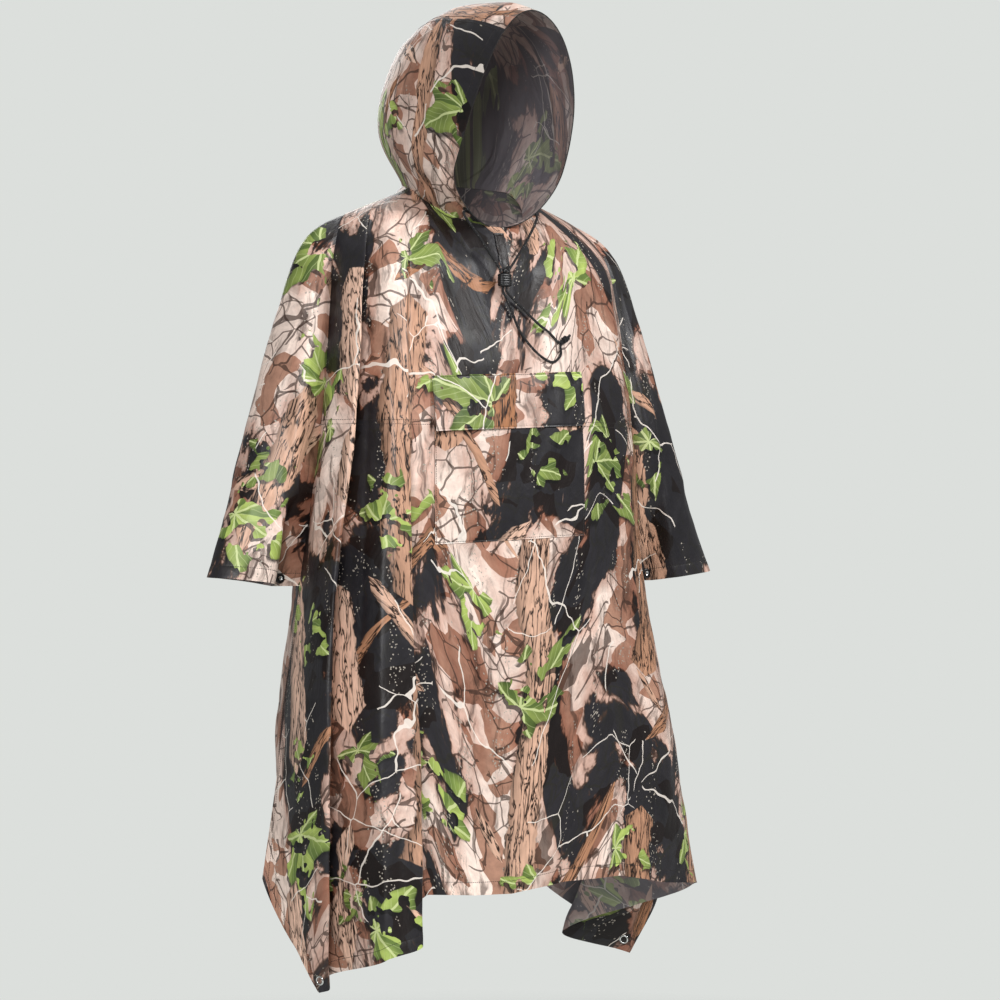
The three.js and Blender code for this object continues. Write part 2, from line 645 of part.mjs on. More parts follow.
function cord(name, points) {
  const path = new THREE.CatmullRomCurve3(points, false, 'centripetal');
  const steps = Math.max(2, Math.round(path.getLength() / (2.2 * CORD_DIAMETER)));
  const section = new THREE.Shape();
  section.absarc(0, 0, CORD_DIAMETER / 2, 0, 2 * Math.PI);
  const tube = new THREE.ExtrudeGeometry(section, { steps, curveSegments: CORD_SIDES / 2, extrudePath: path });
  addPiece(name, tube, 'black');
}

const lockCentre = point(LOCK.x, LOCK.y, LOCK.z);
const strandStep = point(CORD_DIAMETER * 0.75, 0, 0);
for (const [name, side] of [['right', -1], ['left', 1]]) {
  const across = side > 0 ? EYELET.share : 2 - EYELET.share;
  const rim = hoodSurface(across, EYELET.arch);
  const outward = outwardAt(hoodSurface, across, EYELET.arch);
  const inside = CLOTH / 2 + GAP;
  const ring = turned([
    [EYELET.bore, inside], [EYELET.outer, inside], [EYELET.outer - 0.6, inside + EYELET.thickness],
    [EYELET.bore, inside + EYELET.thickness], [EYELET.bore, inside],
  ], 12);
  addPiece(`cord_eyelet_${name}`, stand(ring, rim, outward), 'black');
  const start = rim.clone().addScaledVector(outward, inside + EYELET.thickness + GAP);
  const end = lockCentre.clone().add(point(0, 0, LOCK.height / 2 + GAP)).addScaledVector(strandStep, side * 2.6);
  const sag = start.clone().lerp(end, 0.35).add(point(0, -5, -6));
  const last = start.clone().lerp(end, 0.8).add(point(0, -2, 1));
  const above = end.clone().add(point(0, 0, 4));
  cord(`cord_${name}`, [start, start.clone().addScaledVector(outward, 4), sag, last, above, end]);
}

function freeEnd(name, route, shift, finish) {
  const start = lockCentre.clone().add(point(shift, 0, -LOCK.height / 2 - GAP));
  const laid = route.map((row) => {
    const spot = onFront(row.x, row.z);
    const outward = outwardAt(frontSurface, spot.across, spot.down);
    return frontSurface(spot.across, spot.down).addScaledVector(outward, row.lift);
  });
  const before = finish.clone().addScaledVector(knotAxis, -5);
  cord(name, [start, start.clone().add(point(0, 0, -5)), ...laid, before, finish]);
}

const knotSpot = onFront(KNOT.x, KNOT.z);
const knotOut = outwardAt(frontSurface, knotSpot.across, knotSpot.down);
const knotPlace = frontSurface(knotSpot.across, knotSpot.down).addScaledVector(knotOut, KNOT.radius + 2);
const knotAxis = point(0.8, 0, 0.6);
const knotHalf = KNOT.length / 2;
const knot = turned([
  [0, -knotHalf], [KNOT.radius * 0.8, -knotHalf], [KNOT.radius, -knotHalf * 0.4],
  [KNOT.radius, knotHalf * 0.4], [KNOT.radius * 0.8, knotHalf], [0, knotHalf],
], 10);
addPiece('cord_knot', stand(knot, knotPlace, knotAxis), 'black');
const knotFace = knotPlace.clone().addScaledVector(knotAxis, -knotHalf - GAP);
const knotSide = point(0.6, 0, -0.8);
freeEnd('cord_free_end_1', FREE_END_1, -3, knotFace.clone().addScaledVector(knotSide, 2.2));
freeEnd('cord_free_end_2', FREE_END_2, 3, knotFace.clone().addScaledVector(knotSide, -2.2));

function roundedBlock(width, depth, height, radius) {
  const outline = new THREE.Shape();
  const x = width / 2 - radius;
  const y = depth / 2 - radius;
  outline.absarc(x, y, radius, 0, Math.PI / 2);
  outline.absarc(-x, y, radius, Math.PI / 2, Math.PI);
  outline.absarc(-x, -y, radius, Math.PI, Math.PI * 1.5);
  outline.absarc(x, -y, radius, Math.PI * 1.5, Math.PI * 2);
  return new THREE.ExtrudeGeometry(outline, { depth: height, bevelEnabled: false, curveSegments: 3 });
}

const lockBody = roundedBlock(LOCK.width, LOCK.depth, LOCK.height, 5);
lockBody.translate(LOCK.x, LOCK.y, LOCK.z - LOCK.height / 2);
addPiece('cord_lock_body', lockBody, 'black');
const lockButton = roundedBlock(LOCK.button / 2, LOCK.button / 2, LOCK.press, 2.5);
lockButton.translate(LOCK.x, LOCK.y, LOCK.z + LOCK.height / 2 + GAP);
addPiece('cord_lock_button', lockButton, 'black');

export default poncho;
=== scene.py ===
"""Hooded rain poncho in printed coated polyester, hanging as it is worn, round its CAD frame.

The tables give the same cloth as the CAD solids do, in millimetres. Every mesh is made from them as a thin
shell with finer folds, hems, stitching and a generic print of leaves, bark and twigs.
"""
import math

import bpy
import numpy as np
from mathutils import Matrix, Vector


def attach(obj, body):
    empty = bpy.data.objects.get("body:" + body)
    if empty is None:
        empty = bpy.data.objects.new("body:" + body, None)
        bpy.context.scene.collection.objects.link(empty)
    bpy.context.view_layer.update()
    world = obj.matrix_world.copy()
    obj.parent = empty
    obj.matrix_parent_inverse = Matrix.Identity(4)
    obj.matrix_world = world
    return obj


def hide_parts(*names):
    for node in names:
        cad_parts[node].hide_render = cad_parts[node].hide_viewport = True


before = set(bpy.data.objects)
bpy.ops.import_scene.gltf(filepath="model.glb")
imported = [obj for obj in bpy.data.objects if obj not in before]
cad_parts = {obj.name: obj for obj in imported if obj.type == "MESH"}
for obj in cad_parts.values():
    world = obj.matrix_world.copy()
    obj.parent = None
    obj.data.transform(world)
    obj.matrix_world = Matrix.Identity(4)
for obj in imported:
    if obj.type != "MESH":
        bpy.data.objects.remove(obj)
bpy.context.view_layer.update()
scene = bpy.context.scene
MM = 0.001

# Camera, as far from the poncho as the photograph's perspective says

CAMERA = {"target": (0.052, -0.030, -0.442), "azimuth": 30, "distance": 4.5, "lens": 108, "sensor": 36}


def make_camera():
    turn = math.radians(CAMERA["azimuth"])
    look = Vector((math.sin(turn), math.cos(turn), 0))
    data = bpy.data.cameras.new("camera")
    data.lens = CAMERA["lens"]
    data.sensor_width = CAMERA["sensor"]
    camera = bpy.data.objects.new("camera", data)
    camera.location = Vector(CAMERA["target"]) - look * CAMERA["distance"]
    camera.rotation_euler = (math.pi / 2, 0, -turn)
    scene.collection.objects.link(camera)
    scene.camera = camera


make_camera()

# Sizes of the cloth's form, in millimetres

NECK = {"half_width": 86, "front": 114, "back": 88, "side_height": 22, "front_drop": 64, "back_rise": 16}
TOP_SLOPE = {"neck": 58, "shoulder": 14}
LEVELS = {"yoke": -120, "chest": -330, "cuff": -560, "thigh": -830}

# Overarm line from the side of the neck to the cuff: x, y, z, and how far the sleeve stands out from the arm
ARM_LINE = np.array([
    (86, 0, 22, 0), (120, 0, 7, 0), (155, 0, -7, 0), (192, -2, -22, 1), (232, -4, -40, 6), (262, -6, -68, 12),
    (281, -8, -106, 17), (300, -10, -166, 22), (318, -11, -220, 27), (337, -13, -283, 31), (361, -16, -356, 36),
    (390, -20, -449, 40), (426, -30, -552, 42),
], float)
ARMHOLE_ROW = 3
CUFF_ROW = 12
CUFF_SLOPE = 14
PINCH = {"from": 410, "to": 500, "reach": 42, "softness": 0.1}

# Fold lines: where the top edge starts, softness, then x and y at yoke, chest, cuff and thigh, and x, y, z at the hem
FRONT_FOLDS = [
    (-196, 0.6, (-238, -45), (-262, -60), (-281, -29), (-299, 6), (-325, 5, -990)),
    (-176, 0.9, (-232, -80), (-268, -100), (-288, -90), (-306, -76), (-276, -78, -1148)),
    (-154, 0.5, (-221, -112), (-248, -138), (-280, -140), (-294, -145), (-267, -94, -1142)),
    (-142, 0.5, (-212, -90), (-240, -95), (-265, -90), (-280, -88), (-254, -62, -1128)),
    (-128, 0.5, (-188, -122), (-200, -155), (-219, -165), (-227, -178), (-224, -185, -1092)),
    (-112, 0.45, (-158, -125), (-174, -163), (-177, -178), (-171, -190), (-174, -200, -1074)),
    (-104, 0.5, (-148, -118), (-166, -147), (-182, -148), (-184, -149), (-186, -152, -1040)),
    (-94, 0.9, (-110, -127), (-135, -152), (-140, -152), (-138, -153), (-138, -150, -1008)),
    (-46, 1, (-58, -134), (-68, -157), (-70, -158), (-70, -158), (-66, -153, -1013)),
    (0, 1, (0, -137), (0, -159), (0, -160), (0, -160), (0, -154, -1015)),
    (46, 1, (60, -133), (70, -156), (76, -157), (84, -158), (92, -154, -1003)),
    (92, 1, (125, -121), (145, -146), (165, -145), (178, -146), (190, -148, -1001)),
    (150, 0.8, (205, -90), (222, -112), (258, -100), (302, -112), (287, -110, -1021)),
    (166, 0.6, (225, -72), (250, -88), (277, -75), (352, -45), (404, -25, -1040)),
    (178, 0.4, (232, -62), (257, -76), (284, -58), (328, 50), (271, 150, -1127)),
    (188, 0.9, (236, -53), (260, -68), (284, -43), (352, 48), (356, 85, -1159)),
    (196, 0.6, (238, -45), (262, -60), (281, -29), (372, 34), (391, 60, -1073)),
]
BACK_FOLDS = [
    (0, 0.6, (238, 38), (262, 42), (281, -23.5), (376, 30), (384, 92, -1062)),
    (0, 0.9, (228, 62), (252, 72), (290, 22), (366, 66), (352, 114, -1135)),
    (0, 0.7, (208, 82), (232, 95), (276, 76), (332, 114), (312, 150, -1105)),
    (0, 0.9, (160, 95), (182, 112), (220, 120), (252, 142), (250, 180, -1050)),
    (0, 0.9, (92, 100), (100, 112), (122, 112), (142, 122), (150, 152, -1028)),
    (0, 1, (0, 106), (0, 119), (0, 122), (0, 138), (0, 168, -1022)),
    (0, 0.9, (-92, 100), (-98, 112), (-108, 110), (-116, 120), (-108, 144, -1036)),
    (0, 0.9, (-160, 95), (-180, 111), (-182, 112), (-206, 128), (-190, 154, -1080)),
    (0, 0.7, (-208, 82), (-232, 95), (-236, 72), (-258, 86), (-216, 100, -1110)),
    (0, 0.9, (-230, 60), (-254, 70), (-268, 14), (-284, 42), (-238, 44, -1120)),
    (0, 0.6, (-238, 38), (-262, 42), (-281, -23.5), (-290, 20), (-268, -14, -985)),
]
BACK_SHOULDER = 0.35
HEM_ROW = 5
SEAM_ROW = 2
LAST_FRONT = len(FRONT_FOLDS) - 1
LAST_BACK = len(BACK_FOLDS) - 1

# Hood arches from the face opening back: foot in degrees round the neck, slope, widest, top, bow
HOOD_ARCHES = [
    (8, 4, (91, -148, 42), (0, -216, 262), 2),
    (38, 40, (108, -114, 66), (0, -165, 278), 1.8),
    (62, 58, (121, -66, 100), (0, -95, 288), 1.4),
    (80, 62, (127, -16, 122), (0, -20, 290), 1.2),
    (96, 64, (121, 30, 122), (0, 46, 258), 1.2),
    (112, 68, (106, 60, 104), (0, 86, 188), 1.2),
    (127, 72, (88, 68, 74), (0, 96, 108), 1.2),
]
NAPE_FOOT = 140
HOOD_CHEEK = 0.35
HOOD_SEAM = 0.78
NAPE_ROW = 7

POCKET = {"left": -127, "right": 123, "top": -284, "bottom": -500, "tilt": 0.045, "lift": 1.5}
FLAP = {"top": -258, "bottom": -338, "rise": 0.25, "flare": 6}
PLACKET = {"left": -10, "right": 5, "top": -52, "bottom": -110}
GROMMET = {"bore": 4.2, "flange": 7.4, "plate": 0.8, "room": 0.5}
GROMMET_RISE = 0.055
SNAP = {"cap": 7.5, "from_end": 27, "rise": 11, "thickness": 2.2}
EYELET = {"bore": 2.6, "outer": 5.6, "thickness": 1.6, "arch": 0.16, "share": 0.13}
CORD_DIAMETER = 3.8
LOCK = {"x": -10, "y": -151, "z": -122, "width": 21, "depth": 14, "height": 20}
KNOT = {"x": 95, "z": -206, "length": 13, "radius": 4.6}
SOLID_CLOTH = 1.5
SOLID_GAP = 0.3

# Smooth curves and surfaces through the tables


def unit(vectors):
    return vectors / np.maximum(np.linalg.norm(vectors, axis=-1, keepdims=True), 1e-9)


def bend(start, leave, end, arrive, f):
    f = f[..., None]
    chord = np.linalg.norm(end - start, axis=-1, keepdims=True)
    return (
        (2 * f**3 - 3 * f**2 + 1) * start
        + chord * (f**3 - 2 * f**2 + f) * leave
        + (3 * f**2 - 2 * f**3) * end
        + chord * (f**3 - f**2) * arrive
    )


def along(points, softness, t):
    """Places at t, counted in points, on curves through points; each place may have points of its own."""
    n, m = len(points), len(t)
    if points.ndim == 2:
        points = np.repeat(points[:, None], m, axis=1)
    if softness.ndim == 1:
        softness = np.repeat(softness[:, None], m, axis=1)
    order = np.arange(n)
    heading = unit(points[np.minimum(order + 1, n - 1)] - points[np.maximum(order - 1, 0)])
    leaning = heading * softness[..., None]
    i = np.clip(np.floor(t).astype(int), 0, n - 2)
    at = np.arange(m)
    return bend(points[i, at], leaning[i, at], points[i + 1, at], leaning[i + 1, at], t - i)


def between(values, t):
    values = np.asarray(values, float)
    i = np.clip(np.floor(t).astype(int), 0, len(values) - 2)
    return values[i] + (t - i) * (values[i + 1] - values[i])


def sloping(vectors, degrees):
    level = unit(vectors * (1, 1, 0))
    turn = np.radians(degrees)[..., None]
    return level * np.cos(turn) + np.array((0, 0, 1)) * np.sin(turn)


def smooth(value, low, high):
    f = np.clip((value - low) / (high - low), 0, 1)
    return f * f * (3 - 2 * f)


def on_flat(function):
    """Lets a function of two flat lists take arrays of any shape."""
    def shaped(across, down):
        across, down = np.broadcast_arrays(np.asarray(across, float), np.asarray(down, float))
        return function(across.ravel(), down.ravel()).reshape(across.shape + (3,))
    return shaped


def neck_edge(degrees):
    ahead = np.cos(np.radians(degrees))
    depth = np.where(ahead > 0, NECK["front"], NECK["back"])
    fall = np.where(ahead > 0, NECK["front_drop"], NECK["back_rise"])
    across = NECK["half_width"] * np.sin(np.radians(degrees))
    return np.stack([across, -depth * ahead, NECK["side_height"] - fall * ahead], axis=-1)


def arm_line(row, side):
    return along(ARM_LINE[:, :3], np.ones(len(ARM_LINE)), row) * np.stack([side, side * side, side * side], -1)


SHOULDER_ROWS = np.linspace(0, ARMHOLE_ROW + 1, 401)
SHOULDER_X = along(ARM_LINE[:, :3], np.ones(len(ARM_LINE)), SHOULDER_ROWS)[:, 0]


def shoulder_edge(distance, side):
    return arm_line(np.interp(NECK["half_width"] + distance, SHOULDER_X, SHOULDER_ROWS), side)


FRONT_TOPS = [fold[0] for fold in FRONT_FOLDS]


def front_top(across):
    top = between(FRONT_TOPS, across)
    beyond = np.abs(top) - 90
    shoulder = shoulder_edge(np.maximum(beyond, 0), np.sign(top) + (top == 0))
    return np.where((beyond > 0)[:, None], shoulder, neck_edge(top))


def back_top(across):
    share = across / LAST_BACK
    reach = ARM_LINE[ARMHOLE_ROW, 0] - NECK["half_width"]
    left = shoulder_edge(reach * np.clip(1 - share / BACK_SHOULDER, 0, None), np.ones(len(share)))
    right = shoulder_edge(reach * np.clip(1 - (1 - share) / BACK_SHOULDER, 0, None), -np.ones(len(share)))
    nape = neck_edge(90 + 180 * (share - BACK_SHOULDER) / (1 - 2 * BACK_SHOULDER))
    ends = np.where((share < 0.5)[:, None], left, right)
    return np.where((np.abs(share - 0.5) < 0.5 - BACK_SHOULDER)[:, None], nape, ends)


def fold_surface(folds, top_edge):
    softness = np.array([fold[1] for fold in folds])
    levels = []
    for i, height in enumerate([*LEVELS.values(), None]):
        places = np.array([(*fold[2 + i][:2], 0) for fold in folds], float)
        heights = [fold[2 + i][2] if height is None else height for fold in folds]
        levels.append((places, heights))

    def surface(across, down):
        column = []
        for places, heights in levels:
            place = along(places, softness, across)
            place[:, 2] = between(heights, across)
            column.append(place)
        column = np.stack(column)
        top = top_edge(across)
        level = np.minimum(1, np.abs(top[:, 1]) / NECK["back"])
        slope = TOP_SLOPE["shoulder"] + (TOP_SLOPE["neck"] - TOP_SLOPE["shoulder"]) * level
        leave = sloping(column[0] - top, -slope)
        arrive = unit(column[1] - column[0])
        upper = bend(top, leave, column[0], arrive, np.minimum(down, 1))
        lower = along(column, np.ones(len(column)), down - 1)
        return np.where((down < 1)[:, None], upper, lower)

    return on_flat(surface)


front_surface = fold_surface(FRONT_FOLDS, front_top)
back_surface = fold_surface(BACK_FOLDS, back_top)


def sleeve_surface(side):
    front_edge = LAST_FRONT if side > 0 else 0
    back_edge = 0 if side > 0 else LAST_BACK
    steps = np.linspace(0, 3.5, 800)

    def edge_at(surface, edge, heights):
        falls = -surface(np.full(len(steps), edge), steps)[:, 2]
        return surface(np.full(len(heights), edge), np.interp(-heights, falls, steps))

    def surface(across, row):
        crest = arm_line(row, np.full(len(row), side))
        share = (row - ARMHOLE_ROW) / (CUFF_ROW - ARMHOLE_ROW)
        inner_height = crest[:, 2] - CUFF_SLOPE * share**2
        stand = between(ARM_LINE[:, 3], row)[:, None]
        drawn = smooth(-inner_height, PINCH["from"], PINCH["to"])

        def half(edge, outward):
            out = np.array((0, outward, 0)) * stand
            middle = edge + (crest - edge) * 0.5 + out
            near = edge + (crest - edge) * 0.22 + out * 0.62
            shut = edge + np.array((side * PINCH["reach"], outward * 0.1, 0))
            return [edge, near + (shut - near) * drawn[:, None], middle]

        front = half(edge_at(front_surface, front_edge, inner_height), -1)
        back = half(edge_at(back_surface, back_edge, inner_height), 1)
        first, last = (front, back) if side > 0 else (back, front)
        ring = np.stack([*first, crest, *last[::-1]])
        free = 0.6 + (PINCH["softness"] - 0.6) * drawn
        whole = np.ones(len(row))
        return along(ring, np.stack([whole, free, whole, whole, whole, free, whole]), across)

    return on_flat(surface)


def arch_point(arch, share):
    foot, slope, widest, top, bow = arch
    widest, top = np.array(widest, float), np.array(top, float)
    start = neck_edge(np.full(len(share), foot))
    arrive = unit(np.array([(0, (top[1] - widest[1]) * bow, top[2] - widest[2])]))
    leave = sloping(widest - start, np.full(len(share), slope))
    cheek = bend(start, leave, widest + 0 * start, arrive + 0 * start, share / HOOD_CHEEK)
    turn = (share - HOOD_CHEEK) / (1 - HOOD_CHEEK) * math.pi / 2
    rise = np.sin(turn)
    crown = np.stack([
        widest[0] * np.cos(turn),
        widest[1] + (top[1] - widest[1]) * (1 - np.clip(1 - rise, 0, None) ** bow),
        widest[2] + (top[2] - widest[2]) * rise,
    ], axis=-1)
    return np.where((share < HOOD_CHEEK)[:, None], cheek, crown)


@on_flat
def hood_surface(across, back):
    side = np.where(across < 1, 1, -1)
    share = np.where(across < 1, across, 2 - across)
    points = [arch_point(arch, share) for arch in HOOD_ARCHES]
    points.append(neck_edge(NAPE_FOOT + (180 - NAPE_FOOT) * share))
    place = along(np.stack(points), np.ones(len(points)), back)
    place[:, 0] *= side
    return place


STEP = 0.01


def outward_at(surface, across, down):
    across, down = np.asarray(across, float), np.asarray(down, float)
    across_step = surface(across + STEP, down) - surface(across - STEP, down)
    down_step = surface(across, down + STEP) - surface(across, down - STEP)
    return unit(np.cross(down_step, across_step))


def speed(surface, across, down, step_across, step_down):
    ahead = surface(across + step_across, down + step_down)
    behind = surface(across - step_across, down - step_down)
    return np.linalg.norm(ahead - behind, axis=-1) / (2 * (step_across + step_down))


def flat_map(surface, across, down, middle):
    """Lengths along the cloth at each place, in millimetres: u from the middle line, v down from the top edge."""
    a = np.linspace(*across, 161)
    d = np.linspace(*down, 81)
    places = surface(*np.meshgrid(a, d))
    u = np.cumsum(np.linalg.norm(np.diff(places, axis=1, prepend=places[:, :1]), axis=-1), axis=1)
    v = np.cumsum(np.linalg.norm(np.diff(places, axis=0, prepend=places[:1]), axis=-1), axis=0)
    u -= u[:, np.abs(a - middle).argmin()][:, None]

    def flat(at_across, at_down):
        x = np.clip((at_across - a[0]) / (a[-1] - a[0]), 0, 1) * (len(a) - 1)
        y = np.clip((at_down - d[0]) / (d[-1] - d[0]), 0, 1) * (len(d) - 1)
        i = np.minimum(x.astype(int), len(a) - 2)
        j = np.minimum(y.astype(int), len(d) - 2)
        fx, fy = x - i, y - j
        found = []
        for grid in (u, v):
            upper = grid[j, i] * (1 - fx) + grid[j, i + 1] * fx
            lower = grid[j + 1, i] * (1 - fx) + grid[j + 1, i + 1] * fx
            found.append(upper * (1 - fy) + lower * fy)
        return np.stack(found, axis=-1)

    return flat


# Creases listed one by one. Each runs from across, down to across, down in its sheet's table,
# with its half width and height in millimetres (a trough is negative) and how far it bows sideways.

FRONT_CREASES = [
    (8.1, 2.9, 7.7, 4.9, 26, 5.0, 8), (8.9, 3.2, 8.6, 5.0, 20, -4.0, -6), (9.5, 3.05, 9.7, 5.0, 30, 5.5, 10),
    (10.2, 3.3, 10.5, 5.0, 18, -4.5, 5), (10.8, 2.2, 11.0, 4.9, 26, 4.5, 9), (11.35, 2.7, 11.6, 4.8, 20, -5.0, -8),
    (11.9, 1.6, 11.75, 3.6, 22, 3.6, 6), (12.3, 2.9, 12.4, 4.7, 18, -3.2, 5),
    (7.3, 0.9, 7.2, 2.6, 15, -3.0, 4), (7.9, 1.1, 7.6, 2.1, 18, 2.6, -6), (10.9, 0.5, 10.1, 1.6, 16, 2.4, 7),
    (11.6, 0.5, 11.2, 1.9, 18, -2.8, -8), (8.2, 0.35, 8.6, 1.35, 14, -2.2, 5), (10.1, 0.3, 9.6, 1.1, 11, -1.8, -4),
    (8.6, 0.3, 9.2, 0.9, 10, 1.8, 3), (12.4, 0.7, 12.0, 2.2, 20, 3.2, 8), (12.9, 0.9, 12.7, 2.8, 14, -2.6, -5),
    (1.5, 1.0, 1.4, 3.2, 9, -2.4, 3), (1.4, 3.0, 1.6, 4.8, 12, 2.2, -5), (4.5, 1.6, 4.5, 3.4, 10, 2.0, 4),
    (4.6, 3.3, 4.4, 4.9, 9, -1.9, -3), (3.5, 1.5, 3.5, 4.6, 8, -1.8, 3), (13.3, 3.1, 13.1, 4.8, 18, 3.0, 6),
    (14.6, 3.4, 14.5, 4.9, 14, -2.2, 4), (7.5, 3.9, 11.6, 4.15, 16, 1.5, 22), (8.0, 4.45, 10.4, 4.3, 12, -1.1, -14),
]
BACK_CREASES = [
    (4.6, 0.5, 4.4, 2.4, 22, -4.0, 8), (5.4, 0.4, 5.5, 1.9, 18, -3.4, -7), (3.9, 0.9, 3.6, 3.2, 24, 4.4, 10),
    (6.2, 0.6, 6.4, 2.7, 22, 3.8, -8), (7.1, 1.0, 7.3, 3.4, 18, -4.0, 7), (2.9, 1.1, 2.7, 3.3, 17, -3.6, -6),
    (4.9, 2.6, 5.2, 5.0, 30, 6.0, 12), (4.2, 3.0, 4.1, 5.0, 22, -5.0, -8), (5.8, 2.8, 5.9, 5.0, 24, -5.0, 9),
    (6.7, 3.1, 6.6, 4.9, 22, 4.6, -7), (7.6, 3.2, 7.8, 4.8, 18, -3.6, 6), (3.3, 3.3, 3.3, 4.9, 20, 4.2, 5),
    (2.2, 3.0, 2.1, 4.8, 16, -3.4, -5), (8.6, 2.9, 8.5, 4.7, 15, 3.0, 4), (3.2, 1.75, 6.6, 1.9, 15, -1.5, 26),
    (3.6, 2.35, 5.4, 2.3, 12, 1.3, -15), (1.4, 0.8, 1.5, 2.6, 16, 2.8, 5), (8.9, 0.9, 8.8, 2.5, 15, -2.8, -5),
]
SLEEVE_CREASES = [
    (1.9, 4.4, 1.5, 9.5, 16, -3.0, 10), (2.5, 5.0, 2.3, 11.8, 20, 3.6, -9), (3.4, 5.5, 3.3, 10.9, 18, -2.6, 8),
    (3.9, 4.6, 4.1, 9.4, 17, 3.0, 7), (4.5, 6.0, 4.6, 11.4, 16, -3.2, -8), (1.2, 11.4, 2.4, 8.2, 13, -3.4, 8),
    (1.3, 11.7, 2.9, 10.2, 11, 2.4, 5), (1.2, 10.9, 1.4, 7.2, 10, 2.6, -6), (4.8, 11.4, 3.6, 8.4, 13, -3.0, -8),
    (4.7, 11.7, 3.3, 10.4, 11, 2.2, -5), (1.6, 3.9, 2.6, 5.2, 13, -1.8, 4), (4.3, 3.9, 3.5, 5.0, 12, -1.6, -4),
]
HOOD_CREASES = [
    (0.2, 0.9, 0.75, 2.4, 13, -2.6, 7), (0.35, 0.4, 0.85, 1.2, 11, 1.9, 5), (1.8, 0.9, 1.25, 2.4, 13, -2.6, -7),
    (1.62, 0.5, 1.16, 1.3, 11, 1.8, -5), (0.12, 1.6, 0.45, 3.4, 12, 2.2, 6), (1.88, 1.6, 1.5, 3.3, 12, 2.0, -6),
    (0.3, 4.0, 0.85, 4.6, 15, -2.4, 8), (1.7, 4.1, 1.2, 4.8, 15, -2.2, -8), (0.4, 5.4, 0.95, 5.1, 13, 1.9, 5),
    (1.6, 5.5, 1.1, 5.3, 13, -1.8, -5), (0.92, 0.5, 0.9, 3.0, 12, -1.4, 4), (1.1, 0.8, 1.12, 3.3, 11, 1.3, -4),
    (0.6, 2.9, 0.9, 5.9, 14, 1.7, 7), (1.35, 2.8, 1.2, 5.8, 13, 1.6, -6),
]

# Slow unevenness that every sheet has: length of the wave across and down, height, lean
WAVES = [(97, 610, 0.8, 0.12), (61, 430, -0.45, 0.31), (143, 270, 0.7, -0.2), (38, 205, 0.22, 0.55)]


def relief_of(flat, creases, fade, waves=1.0):
    """How far the cloth stands out from its table, in millimetres."""
    lines = []
    for across_0, down_0, across_1, down_1, width, height, bow in creases:
        start = flat(np.array([across_0]), np.array([down_0]))[0]
        end = flat(np.array([across_1]), np.array([down_1]))[0]
        lines.append((start, end, width, height, bow))

    def relief(across, down):
        place = flat(across, down)
        out = np.zeros(place.shape[:-1])
        for start, end, width, height, bow in lines:
            run = end - start
            length = np.linalg.norm(run)
            run = run / length
            t = ((place - start) @ run) / length
            aside = (place - start) @ np.array((-run[1], run[0]))
            inside = np.clip(t, 0, 1)
            aside = aside - 4 * bow * inside * (1 - inside)
            grow = 0.55 + 0.45 * inside
            out += height * np.exp(-((aside / (width * grow)) ** 2)) * np.sin(math.pi * inside) ** 0.8
        for i, (wide, tall, height, lean) in enumerate(WAVES):
            phase = place[..., 0] / wide + place[..., 1] / tall + i * 0.37
            sway = lean * np.sin(2 * math.pi * place[..., 1] / (tall * 0.7) + i)
            out += waves * height * np.sin(2 * math.pi * (phase + sway))
        return out * fade(across, down)

    return relief


def body_fade(last):
    return lambda across, down: (
        smooth(np.minimum(across, last - across), 0, 0.8) * smooth(down, 0, 0.5)
    )


front_flat = flat_map(front_surface, (0, LAST_FRONT), (0, HEM_ROW), 9)
back_flat = flat_map(back_surface, (0, LAST_BACK), (0, HEM_ROW), 5)
hood_flat = flat_map(hood_surface, (0, 2), (0, NAPE_ROW), 1)
front_relief = relief_of(front_flat, FRONT_CREASES, body_fade(LAST_FRONT))
back_relief = relief_of(back_flat, BACK_CREASES, body_fade(LAST_BACK), 1.6)
hood_relief = relief_of(
    hood_flat, HOOD_CREASES,
    lambda across, back: smooth(np.minimum(across, 2 - across), 0, 0.12) * smooth(NAPE_ROW - back, 0, 0.9)
    * smooth(back, -0.1, 0.3), 0.7,
)

# Materials


def colour(text):
    """sRGB hex to linear."""
    parts = [int(text[i:i + 2], 16) / 255 for i in (1, 3, 5)]
    return (*[c / 12.92 if c <= 0.04045 else ((c + 0.055) / 1.055) ** 2.4 for c in parts], 1)


def add(tree, kind, *inputs, named=None, **settings):
    """Adds a node. Inputs are values, sockets or nodes, in the order of its sockets; named ones go by name."""
    made = tree.nodes.new(kind)
    for key, value in settings.items():
        setattr(made, key, value)
    for key, value in [*enumerate(inputs), *(named or {}).items()]:
        if isinstance(value, bpy.types.Node):
            value = value.outputs[0]
        if isinstance(value, bpy.types.NodeSocket):
            tree.links.new(value, made.inputs[key])
        elif value is not None:
            made.inputs[key].default_value = value
    return made


def new_group(name, inputs, outputs):
    tree = bpy.data.node_groups.new(name, "ShaderNodeTree")
    for title, kind in inputs.items():
        tree.interface.new_socket(title, in_out="INPUT", socket_type=kind)
    for title, kind in outputs.items():
        tree.interface.new_socket(title, in_out="OUTPUT", socket_type=kind)
    return tree, add(tree, "NodeGroupInput"), add(tree, "NodeGroupOutput")


FLOAT, VECTOR, COLOR = "NodeSocketFloat", "NodeSocketVector", "NodeSocketColor"
MATH, VMATH, MIX = "ShaderNodeMath", "ShaderNodeVectorMath", "ShaderNodeMixRGB"


